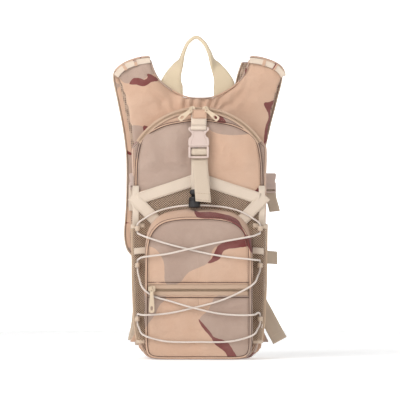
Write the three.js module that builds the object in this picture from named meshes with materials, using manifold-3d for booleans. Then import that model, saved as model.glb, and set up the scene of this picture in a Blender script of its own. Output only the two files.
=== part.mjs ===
// Hydration pack: a small padded day pack that holds a water bladder, with a front pocket laced with a bungee cord.
// Millimetres, +Z up. The front faces -Y. The origin is on the flat base, at its middle.
import * as THREE from 'three';
import { mergeVertices } from 'three/addons/utils/BufferGeometryUtils.js';
import Module from 'manifold-3d';

const wasm = await Module();
wasm.setup();

// Driving dimensions
const GAP = 0.3;
const HALF_WIDTH = 100;
const BASE_CORNER = 20;
const BACK = { front: 34, back: 46 };
const WALL = 4;
const SHELL = { front: -16, back: BACK.front - GAP };
const GUSSET_FRONT = -20;
const PANEL = { front: -24, back: GUSSET_FRONT - GAP, spring: 300, top: 383, shoulder: 70 };
const ARCH = { z: 284, radius: 119.5 };
const ZIP = { inner: 113, outer: 119, front: -22, halfAngle: 56, sliderAngle: 5.2 };
const WEBBING = 25;
const WEBBING_THICK = 2;
const MESH = { front: -25.2, back: PANEL.front - GAP };
const STRIP = { front: -27.4, back: MESH.front - GAP };
const POCKET = { half: 85, top: 241, spring: 195, shoulder: 50, front: -60, back: -25.5, wall: 3, rim: 5 };
const POCKET_ZIP = { low: 101, high: 122, chainLow: 110, chainHigh: 114, sliderX: -74 };
const BUCKLE = { half: 16.5, front: -38, back: -28, joint: 342, top: 372, foot: 322 };
const CORD = { radius: 1.5, x: 98, y: -30 };
const PULL = { thick: 2, above: 0.8, hang: 25, gap: 0.4 };
const LOOP = { hole: 2.6, wall: 1.6, height: 9, bottoms: [205, 146, 60] };
const LOCK = { x: -3, y: -35, base: 243, top: 260.5, radius: 8.5, bore: 5.5, cordZ: 246.5, floor: 249.3 };
const STRAP = { thick: 10, gap: 0.5 };
const SIDE_MESH = { inner: HALF_WIDTH + GAP, outer: 108.5, front: -24, back: 30, low: 28, high: 212, thick: 1.5 };
const BLADDER = { half: 75, low: 20, spring: 262, top: 318, front: 6, back: 30, capZ: 270, capRadius: 27 };

const group = new THREE.Group();

const COLOURS = {
  camo: ['#d9b596', 0.9],
  lining: ['#b9a28d', 0.95],
  webbing: ['#eadac4', 0.85],
  plastic: ['#dcc6bb', 0.5],
  zip: ['#d6bd97', 0.6],
  mesh: ['#b79f88', 0.9],
  bungee: ['#efe2d6', 0.7],
  black: ['#1c1b1b', 0.45],
  bladder: ['#9fb6c4', 0.35],
};
const MATERIALS = Object.fromEntries(Object.entries(COLOURS).map(([name, [color, roughness]]) => [
  name,
  new THREE.MeshStandardMaterial({ color, roughness, metalness: 0 }),
]));

function add(name, geometry, material) {
  const mesh = new THREE.Mesh(geometry, MATERIALS[material]);
  mesh.name = name;
  group.add(mesh);
}

// Solids and booleans
function solid(geometry) {
  const bare = geometry.clone();
  bare.deleteAttribute('normal');
  bare.deleteAttribute('uv');
  const merged = mergeVertices(bare, 1e-3);
  return new wasm.Manifold(new wasm.Mesh({
    numProp: 3,
    vertProperties: new Float32Array(merged.attributes.position.array),
    triVerts: new Uint32Array(merged.index.array),
  }));
}

function surface(manifold) {
  const mesh = manifold.getMesh();
  const geometry = new THREE.BufferGeometry();
  geometry.setAttribute('position', new THREE.BufferAttribute(new Float32Array(mesh.vertProperties), 3));
  geometry.setIndex(new THREE.BufferAttribute(new Uint32Array(mesh.triVerts), 1));
  return geometry;
}

function cut(body, ...tools) {
  return surface(tools.reduce((left, tool) => left.subtract(solid(tool)), solid(body)));
}

function join(...bodies) {
  return surface(bodies.slice(1).reduce((sum, body) => sum.add(solid(body)), solid(bodies[0])));
}

// Basic forms
function box(x0, x1, y0, y1, z0, z1) {
  const geometry = new THREE.BoxGeometry(x1 - x0, y1 - y0, z1 - z0);
  return geometry.translate((x0 + x1) / 2, (y0 + y1) / 2, (z0 + z1) / 2);
}

function outline(points) {
  return new THREE.Shape(points.map(([x, z]) => new THREE.Vector2(x, z)));
}

// A front-view outline, given as x and z, made into a plate between two depths
function plate(shape, front, back, curveSegments = 10) {
  const options = { depth: back - front, bevelEnabled: false, curveSegments };
  return new THREE.ExtrudeGeometry(shape, options).rotateX(Math.PI / 2).translate(0, back, 0);
}

// A side-view outline, given as y and z, made as wide as the span from x0 to x1
function sideways(points, x0, x1) {
  const geometry = new THREE.ExtrudeGeometry(outline(points), { depth: x1 - x0, bevelEnabled: false });
  const turn = new THREE.Matrix4().makeBasis(
    new THREE.Vector3(0, 1, 0),
    new THREE.Vector3(0, 0, 1),
    new THREE.Vector3(1, 0, 0),
  );
  return geometry.applyMatrix4(turn).translate(x0, 0, 0);
}

// The outline of a band of one thickness along a line of points
function band(line, thickness) {
  const half = thickness / 2;
  const sides = line.map(([a, b], i) => {
    const before = line[Math.max(i - 1, 0)];
    const after = line[Math.min(i + 1, line.length - 1)];
    const run = Math.hypot(after[0] - before[0], after[1] - before[1]);
    const across = [(after[1] - before[1]) / run, -(after[0] - before[0]) / run];
    return [[a + across[0] * half, b + across[1] * half], [a - across[0] * half, b - across[1] * half]];
  });
  return [...sides.map((pair) => pair[0]), ...sides.map((pair) => pair[1]).reverse()];
}

function mirrored(points, side) {
  return points.map(([x, ...rest]) => [x * side, ...rest]);
}

function cylinder(radius, length, sides) {
  return new THREE.CylinderGeometry(radius, radius, length, sides);
}

// Outlines of the pack
function archShape(half, floor, corner, spring, top, shoulder) {
  const shape = new THREE.Shape();
  const pull = spring + 0.7 * (top - spring);
  shape.moveTo(-half + corner, floor);
  shape.lineTo(half - corner, floor);
  shape.quadraticCurveTo(half, floor, half, floor + corner);
  shape.lineTo(half, spring);
  shape.bezierCurveTo(half, pull, shoulder, top, 0, top);
  shape.bezierCurveTo(-shoulder, top, -half, pull, -half, spring);
  shape.lineTo(-half, floor + corner);
  shape.quadraticCurveTo(-half, floor, -half + corner, floor);
  return shape;
}

function shellShape(inset) {
  const half = HALF_WIDTH - inset;
  const radius = ARCH.radius - inset;
  const start = Math.acos(half / radius);
  const corner = BASE_CORNER - inset;
  const shape = new THREE.Shape();
  shape.moveTo(-half + corner, inset);
  shape.lineTo(half - corner, inset);
  shape.quadraticCurveTo(half, inset, half, inset + corner);
  shape.lineTo(half, ARCH.z + radius * Math.sin(start));
  shape.absarc(0, ARCH.z, radius, start, Math.PI - start, false);
  shape.lineTo(-half, inset + corner);
  shape.quadraticCurveTo(-half, inset, -half + corner, inset);
  return shape;
}

function panelShape(inset) {
  const { spring, top, shoulder } = PANEL;
  return archShape(HALF_WIDTH - inset, inset, BASE_CORNER - inset, spring, top - inset, shoulder - inset);
}

function pocketShape(inset) {
  const { half, spring, top, shoulder } = POCKET;
  return archShape(half - inset, inset, BASE_CORNER - inset, spring, top - inset, shoulder - inset);
}

function withHole(shape, hole) {
  shape.holes.push(hole);
  return shape;
}

// Back panel with its two shoulder tops, and the pads that rest on the wearer's back
function addBack() {
  const right = [
    [0, 421], [30, 429], [52, 440], [66, 454], [74, 468], [80, 485], [118, 476], [137, 461], [130, 445],
    [122, 415], [114, 372], [107, 322], [104, 250], [104, 22], [98, 8], [86, 0],
  ];
  const left = mirrored(right.slice(1), -1).reverse();
  add('back_panel', plate(outline([...right, ...left]), BACK.front, BACK.back), 'camo');
  for (const [name, side] of [['back_pad_left', -1], ['back_pad_right', 1]]) {
    const pad = mirrored([[6, 60], [48, 60], [54, 72], [54, 352], [44, 372], [6, 372]], side);
    add(name, plate(outline(pad), BACK.back + GAP, BACK.back + 7), 'lining');
  }
}

function addMainCompartment() {
  add('main_shell', plate(withHole(shellShape(0), shellShape(WALL)), SHELL.front, SHELL.back), 'camo');
  const flange = withHole(shellShape(0), panelShape(12));
  add('main_zip_gusset', plate(flange, GUSSET_FRONT, SHELL.front - GAP), 'camo');
  add('main_front_panel', plate(panelShape(0), PANEL.front, PANEL.back), 'camo');
}

// A point on the zip's arch, at an angle from the top, positive to the right
function onArch(radius, degrees) {
  const angle = THREE.MathUtils.degToRad(degrees);
  return [radius * Math.sin(angle), ARCH.z + radius * Math.cos(angle)];
}

function addMainZip() {
  const steps = 16;
  const angles = Array.from({ length: steps + 1 }, (_, i) => -ZIP.halfAngle + (2 * ZIP.halfAngle * i) / steps);
  const outer = angles.map((angle) => onArch(ZIP.outer, angle));
  const inner = angles.map((angle) => onArch(ZIP.inner, angle)).reverse();
  add('main_zip', plate(outline([...outer, ...inner]), ZIP.front, GUSSET_FRONT - GAP), 'zip');
  for (const [name, side] of [['left', -1], ['right', 1]]) {
    const [x, z] = onArch((ZIP.inner + ZIP.outer) / 2, side * ZIP.sliderAngle);
    const bridge = -30;
    const body = join(box(-4, 4, -28, ZIP.front - GAP, -4.5, 4.5), box(-1.6, 1.6, bridge, -27, -3.5, 3.5));
    body.rotateY(THREE.MathUtils.degToRad(side * ZIP.sliderAngle)).translate(x, 0, z);
    add(`main_slider_${name}`, body, 'zip');
    const back = bridge - PULL.gap;
    const blank = box(-3.6, 3.6, back - PULL.thick, back, -PULL.hang, PULL.above);
    const blade = cut(blank, box(-1.8, 1.8, bridge - 5, bridge + 1, -22.5, -17));
    blade.rotateY(THREE.MathUtils.degToRad(side * -51)).translate(x + side * 1.5, 0, z);
    add(`main_pull_${name}`, blade, 'zip');
  }
}

function addCentreStrap() {
  const half = WEBBING / 2;
  add('zip_tab', box(-11, 11, -27.4, PANEL.front - GAP, 386.5, 393), 'camo');
  add('upper_webbing', box(-half, half, -27.2, -25.2, 348, 386), 'webbing');
  add('lower_webbing', box(-half, half, -27.2, -25.2, 299, 340), 'webbing');
  const tail = [[-39.7, 331], [-40, 318], [-44.5, 285], [-48.2, 252]];
  add('webbing_tail', sideways(band(tail, WEBBING_THICK), -13, 13), 'webbing');
}

function addBuckle() {
  const { half, front, back, joint, top, foot } = BUCKLE;
  const [inside, outside] = [front + 2.2, back - 1.8];
  const cavity = box(-13, 13, inside, outside, joint - 1, 363);
  const windows = box(-half - 1, half + 1, inside, outside, 348, 357);
  const slot = box(-13, 13, front - 1, back + 1, 366, 369);
  add('buckle_female', cut(box(-half, half, front, back, joint, top), cavity, windows, slot), 'plastic');
  const frame = box(-half, half, front, back, foot, joint - 0.4);
  const tongue = box(-2.6, 2.6, front + 3.4, back - 3.4, joint - 2, 360);
  const ladder = [[336.4, 339.4], [325, 328]].map(([z0, z1]) => box(-12.8, 12.8, front - 1, back + 1, z0, z1));
  add('buckle_male', cut(join(frame, tongue), ...ladder), 'plastic');
  for (const [name, side] of [['buckle_prong_left', -1], ['buckle_prong_right', 1]]) {
    const shape = mirrored([[6.4, 342.4], [12.4, 342.4], [12.4, 355], [10.6, 362], [8, 362], [6.4, 352]], side);
    add(name, plate(outline(shape), front + 3, back - 2.6), 'plastic');
  }
}

// Webbings sewn over the upper mesh: two to the middle, and two from the sides to the pocket
function addChevrons() {
  for (const [name, side] of [['left', -1], ['right', 1]]) {
    const chevron = mirrored([[13.4, 295], [98, 266], [98, 246], [13.4, 275]], side);
    add(`chevron_${name}`, plate(outline(chevron), STRIP.front, STRIP.back), 'webbing');
    const diagonal = mirrored([[98.6, 244], [106, 262], [106, 222], [86, 218], [72, 230]], side);
    add(`diagonal_${name}`, plate(outline(diagonal), STRIP.front, STRIP.back), 'webbing');
  }
}

function addMeshPanels() {
  const right = [[0, 288], [97, 258], [97, 190]];
  const shape = outline([...right, ...mirrored(right.slice(1), -1).reverse()]);
  add('upper_mesh', plate(shape, MESH.front, MESH.back), 'mesh');
  const { inner, outer, front, back, low, high, thick } = SIDE_MESH;
  for (const [name, side] of [['side_mesh_left', -1], ['side_mesh_right', 1]]) {
    const [x0, x1] = [side * inner, side * outer].sort((a, b) => a - b);
    const hollow = [side * (inner - 1), side * (outer - thick)].sort((a, b) => a - b);
    const room = box(...hollow, front + thick, back - thick, low + thick, high + 1);
    add(name, cut(box(x0, x1, front, back, low, high), room), 'mesh');
  }
}

function addPocket() {
  const { front, back, wall, rim } = POCKET;
  const walls = withHole(pocketShape(0), pocketShape(wall));
  const face = withHole(pocketShape(0), pocketShape(rim));
  add('pocket_gusset', join(plate(walls, front + wall, back), plate(face, front, front + wall + 0.01)), 'camo');
  const whole = plate(pocketShape(rim + GAP), front, front + wall - GAP);
  const above = box(-100, 100, front - 1, back, POCKET_ZIP.high, 300);
  const below = box(-100, 100, front - 1, back, -1, POCKET_ZIP.low);
  add('pocket_panel_upper', surface(solid(whole).intersect(solid(above))), 'camo');
  add('pocket_panel_lower', surface(solid(whole).intersect(solid(below))), 'camo');
  const reach = POCKET.half - rim - GAP;
  const tape = box(-reach, reach, front, front + wall - GAP, POCKET_ZIP.low + GAP, POCKET_ZIP.high - GAP);
  const chain = box(-reach, reach, front - 1.5, front + 1, POCKET_ZIP.chainLow, POCKET_ZIP.chainHigh);
  add('pocket_zip', join(tape, chain), 'zip');
  const [x, bridge, pivot] = [POCKET_ZIP.sliderX, -69.6, 112];
  const body = join(box(x - 5, x + 5, -66, -61.8, 108, 120), box(x - 1.8, x + 1.8, bridge, -65, 109.5, 117));
  add('pocket_slider', body, 'zip');
  const rear = bridge - PULL.gap;
  const blank = box(x - 4, x + 4, rear - PULL.thick, rear, 75, pivot + PULL.above);
  const blade = cut(blank, box(x - 2, x + 2, bridge - 4, bridge + 1, 79, 86));
  add('pocket_pull', blade, 'zip');
}

function addCordLoops() {
  const reach = LOOP.hole + LOOP.wall;
  for (const [name, side] of [['left', -1], ['right', 1]]) {
    for (const [i, place] of ['top', 'middle', 'bottom'].entries()) {
      const [x, low] = [side * CORD.x, LOOP.bottoms[i]];
      const block = box(x - reach, x + reach, CORD.y - reach, CORD.y + reach, low, low + LOOP.height);
      const hole = box(x - LOOP.hole, x + LOOP.hole, CORD.y - LOOP.hole, CORD.y + LOOP.hole, low - 1, low + 20);
      add(`cord_loop_${name}_${place}`, cut(block, hole), 'webbing');
    }
  }
}

// The bungee's route, from inside the cord lock round the lacing and back into it, chosen by hand
const BUNGEE_ROUTE = [
  [-5, -35, 246.5], [-16, -35, 246.5], [-42, -31, 243.5], [-66, -30, 237], [-86, -30, 226],
  [-98, -30, 216.5], [-98, -30, 202.5], [-95, -46, 201], [-88, -63, 198], [-55, -63.2, 187],
  [-16, -63.2, 176.8], [30, -63.2, 167], [88, -63, 160], [95, -46, 159], [98, -31, 157.5],
  [98, -31, 143.5], [95, -46, 134], [88, -63, 121], [42, -63.2, 97], [-7.5, -63.2, 83],
  [-50, -63.2, 74], [-88, -63, 71.5], [-95, -46, 72.5], [-98, -31, 71.5], [-98, -31, 57.5],
  [-95, -46, 50], [-88, -63, 40], [-55, -63.2, 30], [0, -63.2, 28.5], [55, -63.2, 30],
  [88, -63, 40], [95, -46, 50], [98, -31, 57.5], [98, -31, 71.5], [95, -46, 75],
  [88, -63, 72], [40, -63.4, 73], [-7.5, -66.8, 83], [-42, -64, 93], [-72, -63.4, 102],
  [-88, -63, 114], [-95, -46, 131], [-98, -31, 143.5], [-98, -31, 157.5], [-95, -46, 161],
  [-88, -63, 164], [-48, -64, 169.5], [-16, -66.8, 176.8], [30, -64, 187], [88, -63, 198],
  [95, -46, 201], [98, -30, 202.5], [98, -30, 216.5], [86, -30, 226], [66, -30, 237],
  [42, -31, 243.5], [10, -35, 246.5], [-1.5, -35, 246.5],
];

// A curve with the same number of steps between each two of its points
class Route extends THREE.CatmullRomCurve3 {
  getPointAt(u, target) {
    return this.getPoint(u, target);
  }

  getTangentAt(u, target) {
    return this.getTangent(u, target);
  }
}

function tube(points, radius, sides, stepsBetween) {
  const ring = Array.from({ length: sides }, (_, i) => {
    const angle = (2 * Math.PI * i) / sides;
    return [radius * Math.cos(angle), radius * Math.sin(angle)];
  });
  const path = new Route(points.map((point) => new THREE.Vector3(...point)), false, 'centripetal');
  const steps = stepsBetween * (points.length - 1);
  return new THREE.ExtrudeGeometry(outline(ring), { steps, bevelEnabled: false, extrudePath: path });
}

function addCordLock() {
  const { x, y, base, top, radius, bore, cordZ, floor } = LOCK;
  const middle = (base + top) / 2;
  const outer = cylinder(radius, top - base, 20).rotateX(Math.PI / 2).translate(x, y, middle);
  const well = cylinder(bore, 20, 16).rotateX(Math.PI / 2).translate(x, y, floor + 10);
  const passage = cylinder(2.2, 30, 12).rotateZ(Math.PI / 2).translate(x, y, cordZ);
  add('cord_lock_barrel', cut(outer, well, passage), 'black');
  const shaft = cylinder(bore - 0.5, 12, 16).rotateX(Math.PI / 2).translate(x, y, 261);
  const knob = cylinder(7.2, 8, 20).rotateX(Math.PI / 2).translate(x, y, 268);
  add('cord_lock_plunger', join(shaft, knob), 'black');
  const [turns, perTurn, coil, low, high] = [2.5, 10, 3.6, 250.1, 254.2];
  const count = turns * perTurn;
  const points = Array.from({ length: count + 1 }, (_, i) => {
    const angle = (2 * Math.PI * i) / perTurn;
    return [x + coil * Math.cos(angle), y + coil * Math.sin(angle), low + ((high - low) * i) / count];
  });
  add('cord_lock_spring', tube(points, 0.4, 6, 1), 'black');
  add('bungee_cord', tube(BUNGEE_ROUTE, CORD.radius, 8, 2), 'bungee');
}

// A webbing loop, flat where it is sewn down behind the neck and narrow where the hand holds it
function addHandle() {
  const outer = [
    [-34, 433], [-60, 449], [-48, 471], [-31, 481], [-23, 496], [-16, 509], [-5, 516], [6, 509],
    [14, 496], [22, 481], [39, 471], [56, 449], [30, 433],
  ];
  const inner = [
    [18, 449], [16, 464], [11, 483], [3, 502], [-5, 509], [-12, 502], [-20, 483], [-25, 464], [-27, 449], [-30, 433],
  ];
  const ring = outline([...outer, [26, 433], ...inner]);
  add('grab_handle', plate(ring, BACK.back + STRAP.gap, BACK.back + 6.5), 'webbing');
}

// Padded straps that fold back over the shoulder tops and hang behind the pack
const STRAP_LINE = [[52, 479], [58, 440], [67, 390], [72.5, 330], [73.5, 270], [70, 210], [64.5, 161]];
const STRAP_OUTLINES = {
  left: [
    [-80, 481], [-118, 474], [-137, 459], [-128, 415], [-119, 370], [-115, 320], [-116, 250],
    [-120, 200], [-116, 172], [-108, 162], [-78, 162], [-60, 185], [-56, 250], [-58, 330], [-66, 400], [-74, 450],
  ],
  right: [
    [72, 481], [116, 474], [134, 459], [124, 415], [112, 370], [102, 320], [100, 250], [101, 200],
    [97, 174], [90, 162], [60, 162], [46, 185], [42, 250], [46, 330], [54, 400], [64, 450],
  ],
};
const LOCK_X = { left: -93, right: 75 };

function addShoulderStrap(name, side) {
  const profile = sideways(band(STRAP_LINE, STRAP.thick), -150, 150);
  const shape = plate(outline(STRAP_OUTLINES[name]), 40, 90);
  add(`shoulder_strap_${name}`, surface(solid(profile).intersect(solid(shape))), 'camo');
  const top = mirrored([[81, 484], [118, 475], [135, 460], [131.5, 451], [115, 465], [81, 474]], side);
  add(`strap_top_webbing_${name}`, plate(outline(top), BACK.front - WEBBING_THICK - GAP, BACK.front - GAP), 'webbing');
  const x = LOCK_X[name];
  const frame = box(x - 16.5, x + 16.5, 60, 65.5, 137.5, 160);
  const slots = [box(x - 13, x + 13, 59, 67, 153, 156), box(x - 13, x + 13, 59, 67, 142, 145)];
  add(`ladder_lock_${name}`, cut(frame, ...slots), 'plastic');
  const load = band([[48, 24], [48.6, 60], [52, 98], [57, 137]], WEBBING_THICK);
  add(`adjuster_webbing_${name}`, sideways(load, x - WEBBING / 2, x + WEBBING / 2), 'webbing');
}

const TAILS = {
  left: [[-106, 137], [-81, 137], [-84, 80], [-89, 27], [-113, 25], [-108, 80]],
  right: [[63, 137], [88, 137], [98, 110], [118, 70], [139.5, 29], [117, 26.5], [97, 64], [74, 104]],
};

function addSternumStraps() {
  const male = cut(box(-115, -97, 60.5, 67, 272, 298), box(-112, -100, 59, 68, 275, 278));
  add('sternum_buckle_male', male, 'plastic');
  add('sternum_webbing_left', box(-116, -97, 62.5, 64.5, 236, 271.6), 'webbing');
  const female = cut(box(104, 123, 60, 67, 266, 298), box(107, 120, 59, 68, 269, 272));
  add('sternum_buckle_female', female, 'plastic');
  const folded = [[105, 265.6], [123, 265.6], [126, 240], [117, 231], [108, 246]];
  add('sternum_webbing_right', plate(outline(folded), 62.5, 64.5), 'webbing');
}

function addBladder() {
  const { half, low, spring, top, front, back, capZ, capRadius } = BLADDER;
  const bag = plate(archShape(half, low, 20, spring, top, 60), front, back);
  const outlet = cylinder(6, 10, 16).translate(40, front - 3, low + 22);
  add('water_bladder', join(bag, outlet), 'bladder');
  const cap = cylinder(capRadius, 12, 28).translate(0, front - GAP - 6, capZ);
  add('bladder_cap', join(cap, box(-20, 20, -10, -4, capZ - 3, capZ + 3)), 'black');
}

addBack();
addMainCompartment();
addMainZip();
addCentreStrap();
addBuckle();
addChevrons();
addMeshPanels();
addPocket();
addCordLoops();
addCordLock();
addHandle();
for (const [name, side] of [['left', -1], ['right', 1]]) {
  addShoulderStrap(name, side);
  add(`adjuster_tail_${name}`, plate(outline(TAILS[name]), 61.5, 61.5 + WEBBING_THICK), 'webbing');
}
addSternumStraps();
addBladder();
add('side_tab_right', box(107.5, 125, 36, 38, 151, 172), 'webbing');

export default group;
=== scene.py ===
import math

import bmesh
import bpy
import numpy as np
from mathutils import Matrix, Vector, noise


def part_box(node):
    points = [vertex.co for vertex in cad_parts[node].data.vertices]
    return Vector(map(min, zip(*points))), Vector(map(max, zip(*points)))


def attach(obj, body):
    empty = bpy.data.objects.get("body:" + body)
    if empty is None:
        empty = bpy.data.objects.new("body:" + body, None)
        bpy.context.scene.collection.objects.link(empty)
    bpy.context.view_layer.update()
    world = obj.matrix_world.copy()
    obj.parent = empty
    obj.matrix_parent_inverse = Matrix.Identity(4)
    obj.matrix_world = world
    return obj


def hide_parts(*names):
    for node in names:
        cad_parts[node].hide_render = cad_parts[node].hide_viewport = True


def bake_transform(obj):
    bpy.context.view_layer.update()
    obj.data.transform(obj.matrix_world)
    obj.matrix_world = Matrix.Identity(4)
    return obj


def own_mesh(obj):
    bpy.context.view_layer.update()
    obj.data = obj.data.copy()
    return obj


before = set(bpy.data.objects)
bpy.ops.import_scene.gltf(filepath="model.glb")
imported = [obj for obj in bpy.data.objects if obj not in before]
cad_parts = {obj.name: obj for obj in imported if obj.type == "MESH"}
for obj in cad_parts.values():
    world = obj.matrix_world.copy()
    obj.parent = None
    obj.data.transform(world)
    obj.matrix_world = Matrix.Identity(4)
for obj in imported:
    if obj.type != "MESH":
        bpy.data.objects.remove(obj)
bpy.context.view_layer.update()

# Shapes are worked out in millimetres, and made() turns them into metres.
MM = 0.001
# How bright a surface is in itself, as a share of how bright it looks under the studio's lamps.
LAMP_SHARE = 0.75
# The middle and the radius of the arch that the main zip runs on.
ARCH_Z = 284.0
ARCH_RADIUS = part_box("main_shell")[1][2] / MM - ARCH_Z
CORD_RADIUS = 1.5
WEB_HALF, WEB_THICK = 12.4, 1.5
FRONT = (0, -1, 0)

# ---------------------------------------------------------------- camera, floor and light


def set_camera():
    camera = bpy.data.objects.new("camera", bpy.data.cameras.new("camera"))
    bpy.context.collection.objects.link(camera)
    distance, turn, frame_width = 9.0, math.radians(1.6), 0.640
    target = Vector((0.0024, -0.045, 0.2552))
    height = 0.05
    offset = Vector((math.sin(turn) * distance, -math.cos(turn) * distance, height))
    camera.location = target + offset
    camera.rotation_euler = (-offset).to_track_quat("-Z", "Y").to_euler()
    camera.data.sensor_width = 36
    camera.data.lens = 36 * distance / frame_width
    camera.data.clip_end = 100
    bpy.context.scene.camera = camera


def add_lamp(name, place, aim, size, power):
    lamp = bpy.data.lights.new(name, "AREA")
    lamp.shape = "RECTANGLE"
    lamp.size = lamp.size_y = size
    lamp.energy = power
    holder = bpy.data.objects.new(name, lamp)
    bpy.context.collection.objects.link(holder)
    holder.location = place
    holder.rotation_euler = (Vector(aim) - Vector(place)).to_track_quat("-Z", "Y").to_euler()


def paper(name, glow):
    finish = bpy.data.materials.new(name)
    finish.use_nodes = True
    shader = finish.node_tree.nodes["Principled BSDF"]
    shader.inputs["Base Color"].default_value = (0.93, 0.93, 0.93, 1)
    shader.inputs["Roughness"].default_value = 0.9
    shader.inputs["Emission Color"].default_value = (1, 1, 1, 1)
    shader.inputs["Emission Strength"].default_value = glow
    return finish


def set_studio():
    """A pale floor inside a wide glowing bowl, under one big soft lamp and two weaker ones."""
    rows = [(0.0, 0.0), (0.8, 0.0), (1.6, 0.0), (10.0, 0.0)]
    rows += [(10 + 2 * math.sin(a), 2 - 2 * math.cos(a)) for a in np.radians([15, 30, 45, 60, 75, 90])]
    rows += [(12.0, 5.0)]
    sides = 72
    turns = np.arange(sides) * 2 * math.pi / sides
    verts = [(r * math.cos(a), r * math.sin(a), z) for r, z in rows for a in turns]
    faces = quads(len(rows), sides, around=True)
    mesh = bpy.data.meshes.new("studio")
    mesh.from_pydata(verts, [], faces)
    mesh.polygons.foreach_set("use_smooth", [True] * len(faces))
    for name, glow in (("studio_paper", 0.29), ("studio_glow", 0.83), ("studio_wall", 0.70)):
        mesh.materials.append(paper(name, glow))
    bands = [0, 0, 1] + [2] * (len(rows) - 4)
    mesh.polygons.foreach_set("material_index", [band for band in bands for _ in range(sides)])
    floor = bpy.data.objects.new("studio", mesh)
    bpy.context.collection.objects.link(floor)
    world = bpy.data.worlds.new("studio_air")
    world.use_nodes = True
    world.node_tree.nodes["Background"].inputs["Color"].default_value = (1, 1, 1, 1)
    world.node_tree.nodes["Background"].inputs["Strength"].default_value = 0.20
    bpy.context.scene.world = world
    bpy.context.scene.view_settings.view_transform = "Standard"
    add_lamp("key_lamp", (-0.7, -0.9, 1.3), (0, 0, 0.35), 0.9, 16.5)
    add_lamp("front_lamp", (1.5, -2.2, 1.3), (0, 0, 0.25), 1.4, 4)
    add_lamp("back_lamp", (0.4, 1.4, 1.9), (0, 0, 0.3), 1.4, 14)


# ---------------------------------------------------------------- finishes


def rgb(red, green, blue):
    """The linear colour of a surface that looks this, 0 to 255, under the studio's lamps."""
    linear = [((c / 255 + 0.055) / 1.055) ** 2.4 if c > 10 else c / 3294.6 for c in (red, green, blue)]
    return tuple(LAMP_SHARE * c for c in linear)


class Value:
    """A shader value. Arithmetic on it adds Math nodes."""

    def __init__(self, finish, socket):
        self.finish, self.socket = finish, socket

    def math(self, operation, *others):
        return self.finish.node("ShaderNodeMath", {"operation": operation}, {
            i: value for i, value in enumerate((self, *others))
        })

    def __add__(self, other):
        return self.math("ADD", other)

    def __sub__(self, other):
        return self.math("SUBTRACT", other)

    def __mul__(self, other):
        return self.math("MULTIPLY", other)

    def __truediv__(self, other):
        return self.math("DIVIDE", other)

    def __rsub__(self, other):
        return self.finish.node("ShaderNodeMath", {"operation": "SUBTRACT"}, {0: other, 1: self})

    __radd__ = __add__
    __rmul__ = __mul__

    def wave(self, pitch):
        """A sine of this value, from 0 to 1, that repeats every pitch."""
        return (self * (2 * math.pi / pitch)).math("SINE") * 0.5 + 0.5

    def step(self, low, high):
        """0 below low and 1 above high, smooth between them."""
        settings = {"interpolation_type": "SMOOTHSTEP"}
        return self.finish.node("ShaderNodeMapRange", settings, {"Value": self, "From Min": low, "From Max": high})


class Finish:
    """One material: its nodes, and its Principled shader."""

    def __init__(self, name, roughness, sheen=0.0, **constants):
        self.material = bpy.data.materials.new(name)
        self.material.use_nodes = True
        self.tree = self.material.node_tree
        self.shader = self.tree.nodes["Principled BSDF"]
        self.shader.inputs["Roughness"].default_value = roughness
        self.shader.inputs["Sheen Weight"].default_value = sheen
        for socket, value in constants.items():
            self.shader.inputs[socket.replace("_", " ")].default_value = value

    def put(self, socket, value):
        if isinstance(value, Value):
            self.tree.links.new(value.socket, socket)
        elif isinstance(value, tuple) and len(value) == 3 and socket.type == "RGBA":
            socket.default_value = (*value, 1)
        else:
            socket.default_value = value

    def node(self, kind, settings=None, values=None, output=0):
        made = self.tree.nodes.new(kind)
        for name, setting in (settings or {}).items():
            setattr(made, name, setting)
        for name, value in (values or {}).items():
            self.put(made.inputs[name], value)
        return Value(self, made.outputs[output])

    def place(self):
        """Where a point is on the piece, in metres."""
        return self.node("ShaderNodeTexCoord", output="Object")

    def axes(self):
        split = self.node("ShaderNodeSeparateXYZ", {}, {0: self.place()})
        return [Value(self, output) for output in split.socket.node.outputs]

    def held(self, name):
        """A number kept on the mesh's points."""
        return self.node("ShaderNodeAttribute", {"attribute_name": name}, output="Fac")

    def cloud(self, scale, detail=3.0, rough=0.55):
        values = {"Vector": self.place(), "Scale": scale, "Detail": detail, "Roughness": rough}
        return self.node("ShaderNodeTexNoise", {}, values)

    def mix(self, factor, first, second):
        made = self.tree.nodes.new("ShaderNodeMix")
        made.data_type = "RGBA"
        for socket, value in ((0, factor), (6, first), (7, second)):
            self.put(made.inputs[socket], value)
        return Value(self, made.outputs[2])

    def colour(self, value):
        self.put(self.shader.inputs["Base Color"], value)

    def relief(self, height, distance, strength=1.0):
        """A raised pattern. Distance is how far a height of 1 stands out."""
        values = {"Height": height, "Distance": distance, "Strength": strength}
        self.put(self.shader.inputs["Normal"], self.node("ShaderNodeBump", {}, values))

    def rough(self, value):
        self.put(self.shader.inputs["Roughness"], value)


def shade(colour, factor):
    return tuple(min(1.0, c * factor) for c in colour)


TAN = rgb(222, 183, 156)
TAUPE = rgb(189, 162, 146)
MAROON = rgb(126, 48, 48)
CREAM = rgb(238, 219, 199)
HANDLE_CREAM = rgb(232, 212, 180)
PINKISH = rgb(221, 198, 187)
BEIGE = rgb(226, 202, 172)


def plain_weave(finish, pitch=0.0011):
    """Threads over and under each other, as a height from 0 to 1."""
    x, y, z = finish.axes()
    across = (x + y * 0.9).wave(pitch)
    up = (z + y * 0.35).wave(pitch)
    return across * up + (1 - across) * (1 - up)


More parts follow.
